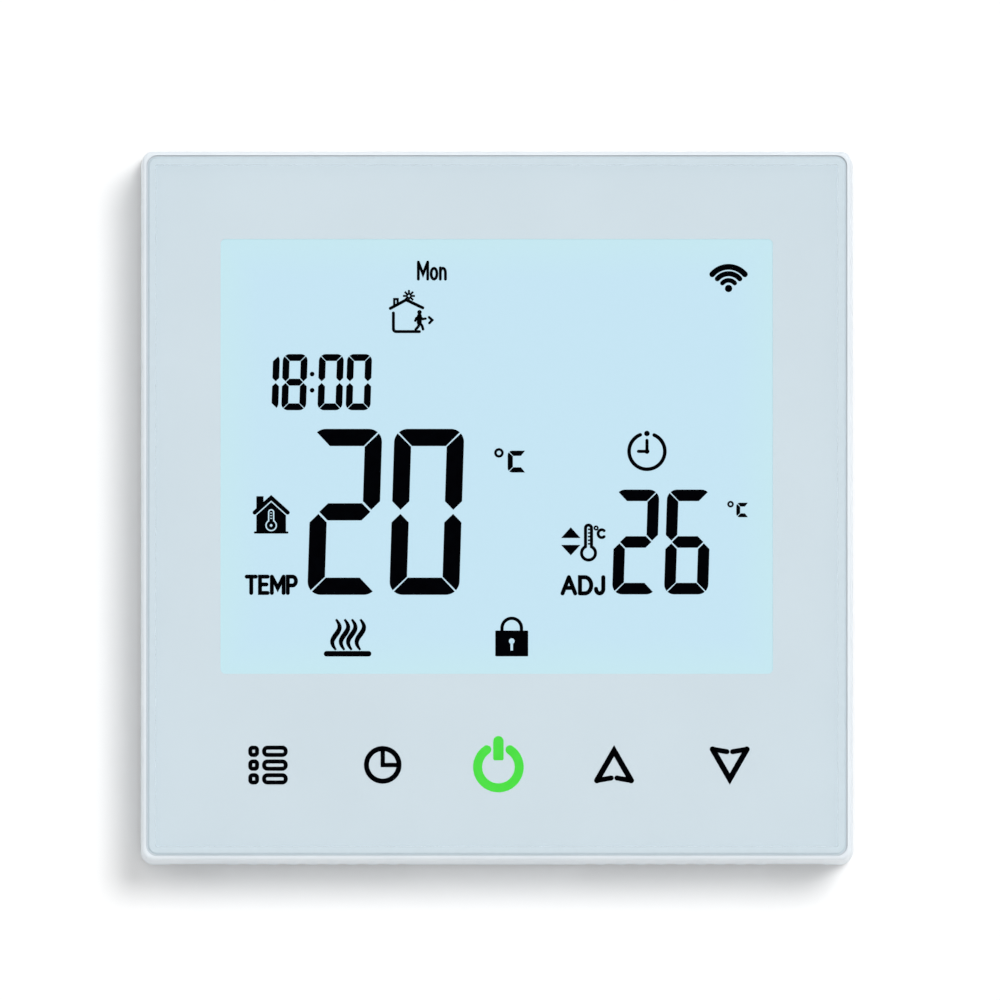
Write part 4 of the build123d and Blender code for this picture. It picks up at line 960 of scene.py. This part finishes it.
def wallSheet():
    # four corners of a square times two sizes, the opening and the far edge
    corner = np.array([[1, 1], [-1, 1], [-1, -1], [1, -1]], float)
    rings = np.vstack([corner * stageLook["opening"], corner * stageLook["reach"]])
    points = np.stack([rings[:, 0], np.full(8, stageLook["wall"]), rings[:, 1]], axis=1)
    here = np.arange(4)
    after = (here + 1) % 4
    faces = np.stack([here, here + 4, after + 4, after], axis=1)
    mesh = bpy.data.meshes.new("wall")
    mesh.from_pydata(points.tolist(), [], faces.tolist())
    wall = bpy.data.objects.new("wall", mesh)
    bpy.context.scene.collection.objects.link(wall)
    return wall


def wallPaint(wall):
    # white from the room, and open to sight from behind
    material, tree, shader, place = newFinish("wall_paint", Base_Color=(1, 1, 1, 1), Roughness=1.0,
                                              Specular_IOR_Level=0.0, Emission_Color=(1, 1, 1, 1))
    seen = addNode(tree, "ShaderNodeLightPath").outputs["Is Camera Ray"]
    feed(tree, shader, Emission_Strength=maths(tree, "MULTIPLY", seen, stageLook["lift"]))
    behind = addNode(tree, "ShaderNodeNewGeometry").outputs["Backfacing"]
    clear = addNode(tree, "ShaderNodeBsdfTransparent")
    mixShaders(tree, behind, shader.outputs["BSDF"], clear.outputs["BSDF"])
    wall.data.materials.append(material)


# strengths of the sky and two suns, the suns' turns and spread in degrees, and where the sky goes dark
studio = dict(sky=0.62, keySun=1.44, keyUp=16.0, keySide=16.5, rearSun=0.9, rearTurn=(60, 0, 205),
              spread=20.0, darkFrom=-0.96, darkTo=-0.995)


def studioLight():
    # an even sky that is dark behind the camera, so that the lens mirrors nothing bright, and two soft suns
    world = bpy.data.worlds.new("studio")
    bpy.context.scene.world = world
    world.use_nodes = True
    tree = world.node_tree
    sky = tree.nodes["Background"]
    sky.inputs["Color"].default_value = (1, 1, 1, 1)
    way = addNode(tree, "ShaderNodeTexCoord").outputs["Generated"]
    ahead = addNode(tree, "ShaderNodeSeparateXYZ", {"Vector": way}).outputs["Y"]
    shade = addNode(tree, "ShaderNodeMapRange", {
        "Value": ahead, "From Min": studio["darkTo"], "From Max": studio["darkFrom"],
        "To Min": 0.0, "To Max": studio["sky"]}).outputs["Result"]
    seen = addNode(tree, "ShaderNodeLightPath").outputs["Is Camera Ray"]
    tree.links.new(maths(tree, "MAXIMUM", shade, seen), sky.inputs["Strength"])
    for name, power, turn in (
        ("key_sun", studio["keySun"], (90 - studio["keyUp"], 0, studio["keySide"])),
        ("rear_sun", studio["rearSun"], studio["rearTurn"]),
    ):
        lamp = bpy.data.lights.new(name, "SUN")
        lamp.energy = power
        lamp.angle = np.radians(studio["spread"])
        holder = bpy.data.objects.new(name, lamp)
        holder.rotation_euler = np.radians(turn)
        bpy.context.scene.collection.objects.link(holder)


sight = dict(up=-1.78, distance=2.5, width=120.16 * mm, aimRight=0.39 * mm, aimUp=0.655 * mm,
             sensor=36.0, far=20.0)


def placeCamera():
    # from far off with a long lens, aimed at the face from a little below
    camera = bpy.data.cameras.new("camera")
    camera.sensor_width = sight["sensor"]
    camera.lens = camera.sensor_width * sight["distance"] / sight["width"]
    camera.clip_end = sight["far"]
    holder = bpy.data.objects.new("camera", camera)
    tilt = np.radians(sight["up"])
    front = cadBox[0].y
    holder.location = (sight["aimRight"], front - sight["distance"] * np.cos(tilt),
                       sight["aimUp"] + sight["distance"] * np.sin(tilt))
    holder.rotation_euler = (np.pi / 2 - tilt, 0, 0)
    bpy.context.scene.collection.objects.link(holder)
    bpy.context.scene.camera = holder


wallPaint(wallSheet())
studioLight()
placeCamera()
bpy.context.scene.view_settings.view_transform = "Standard"
print("stage set")
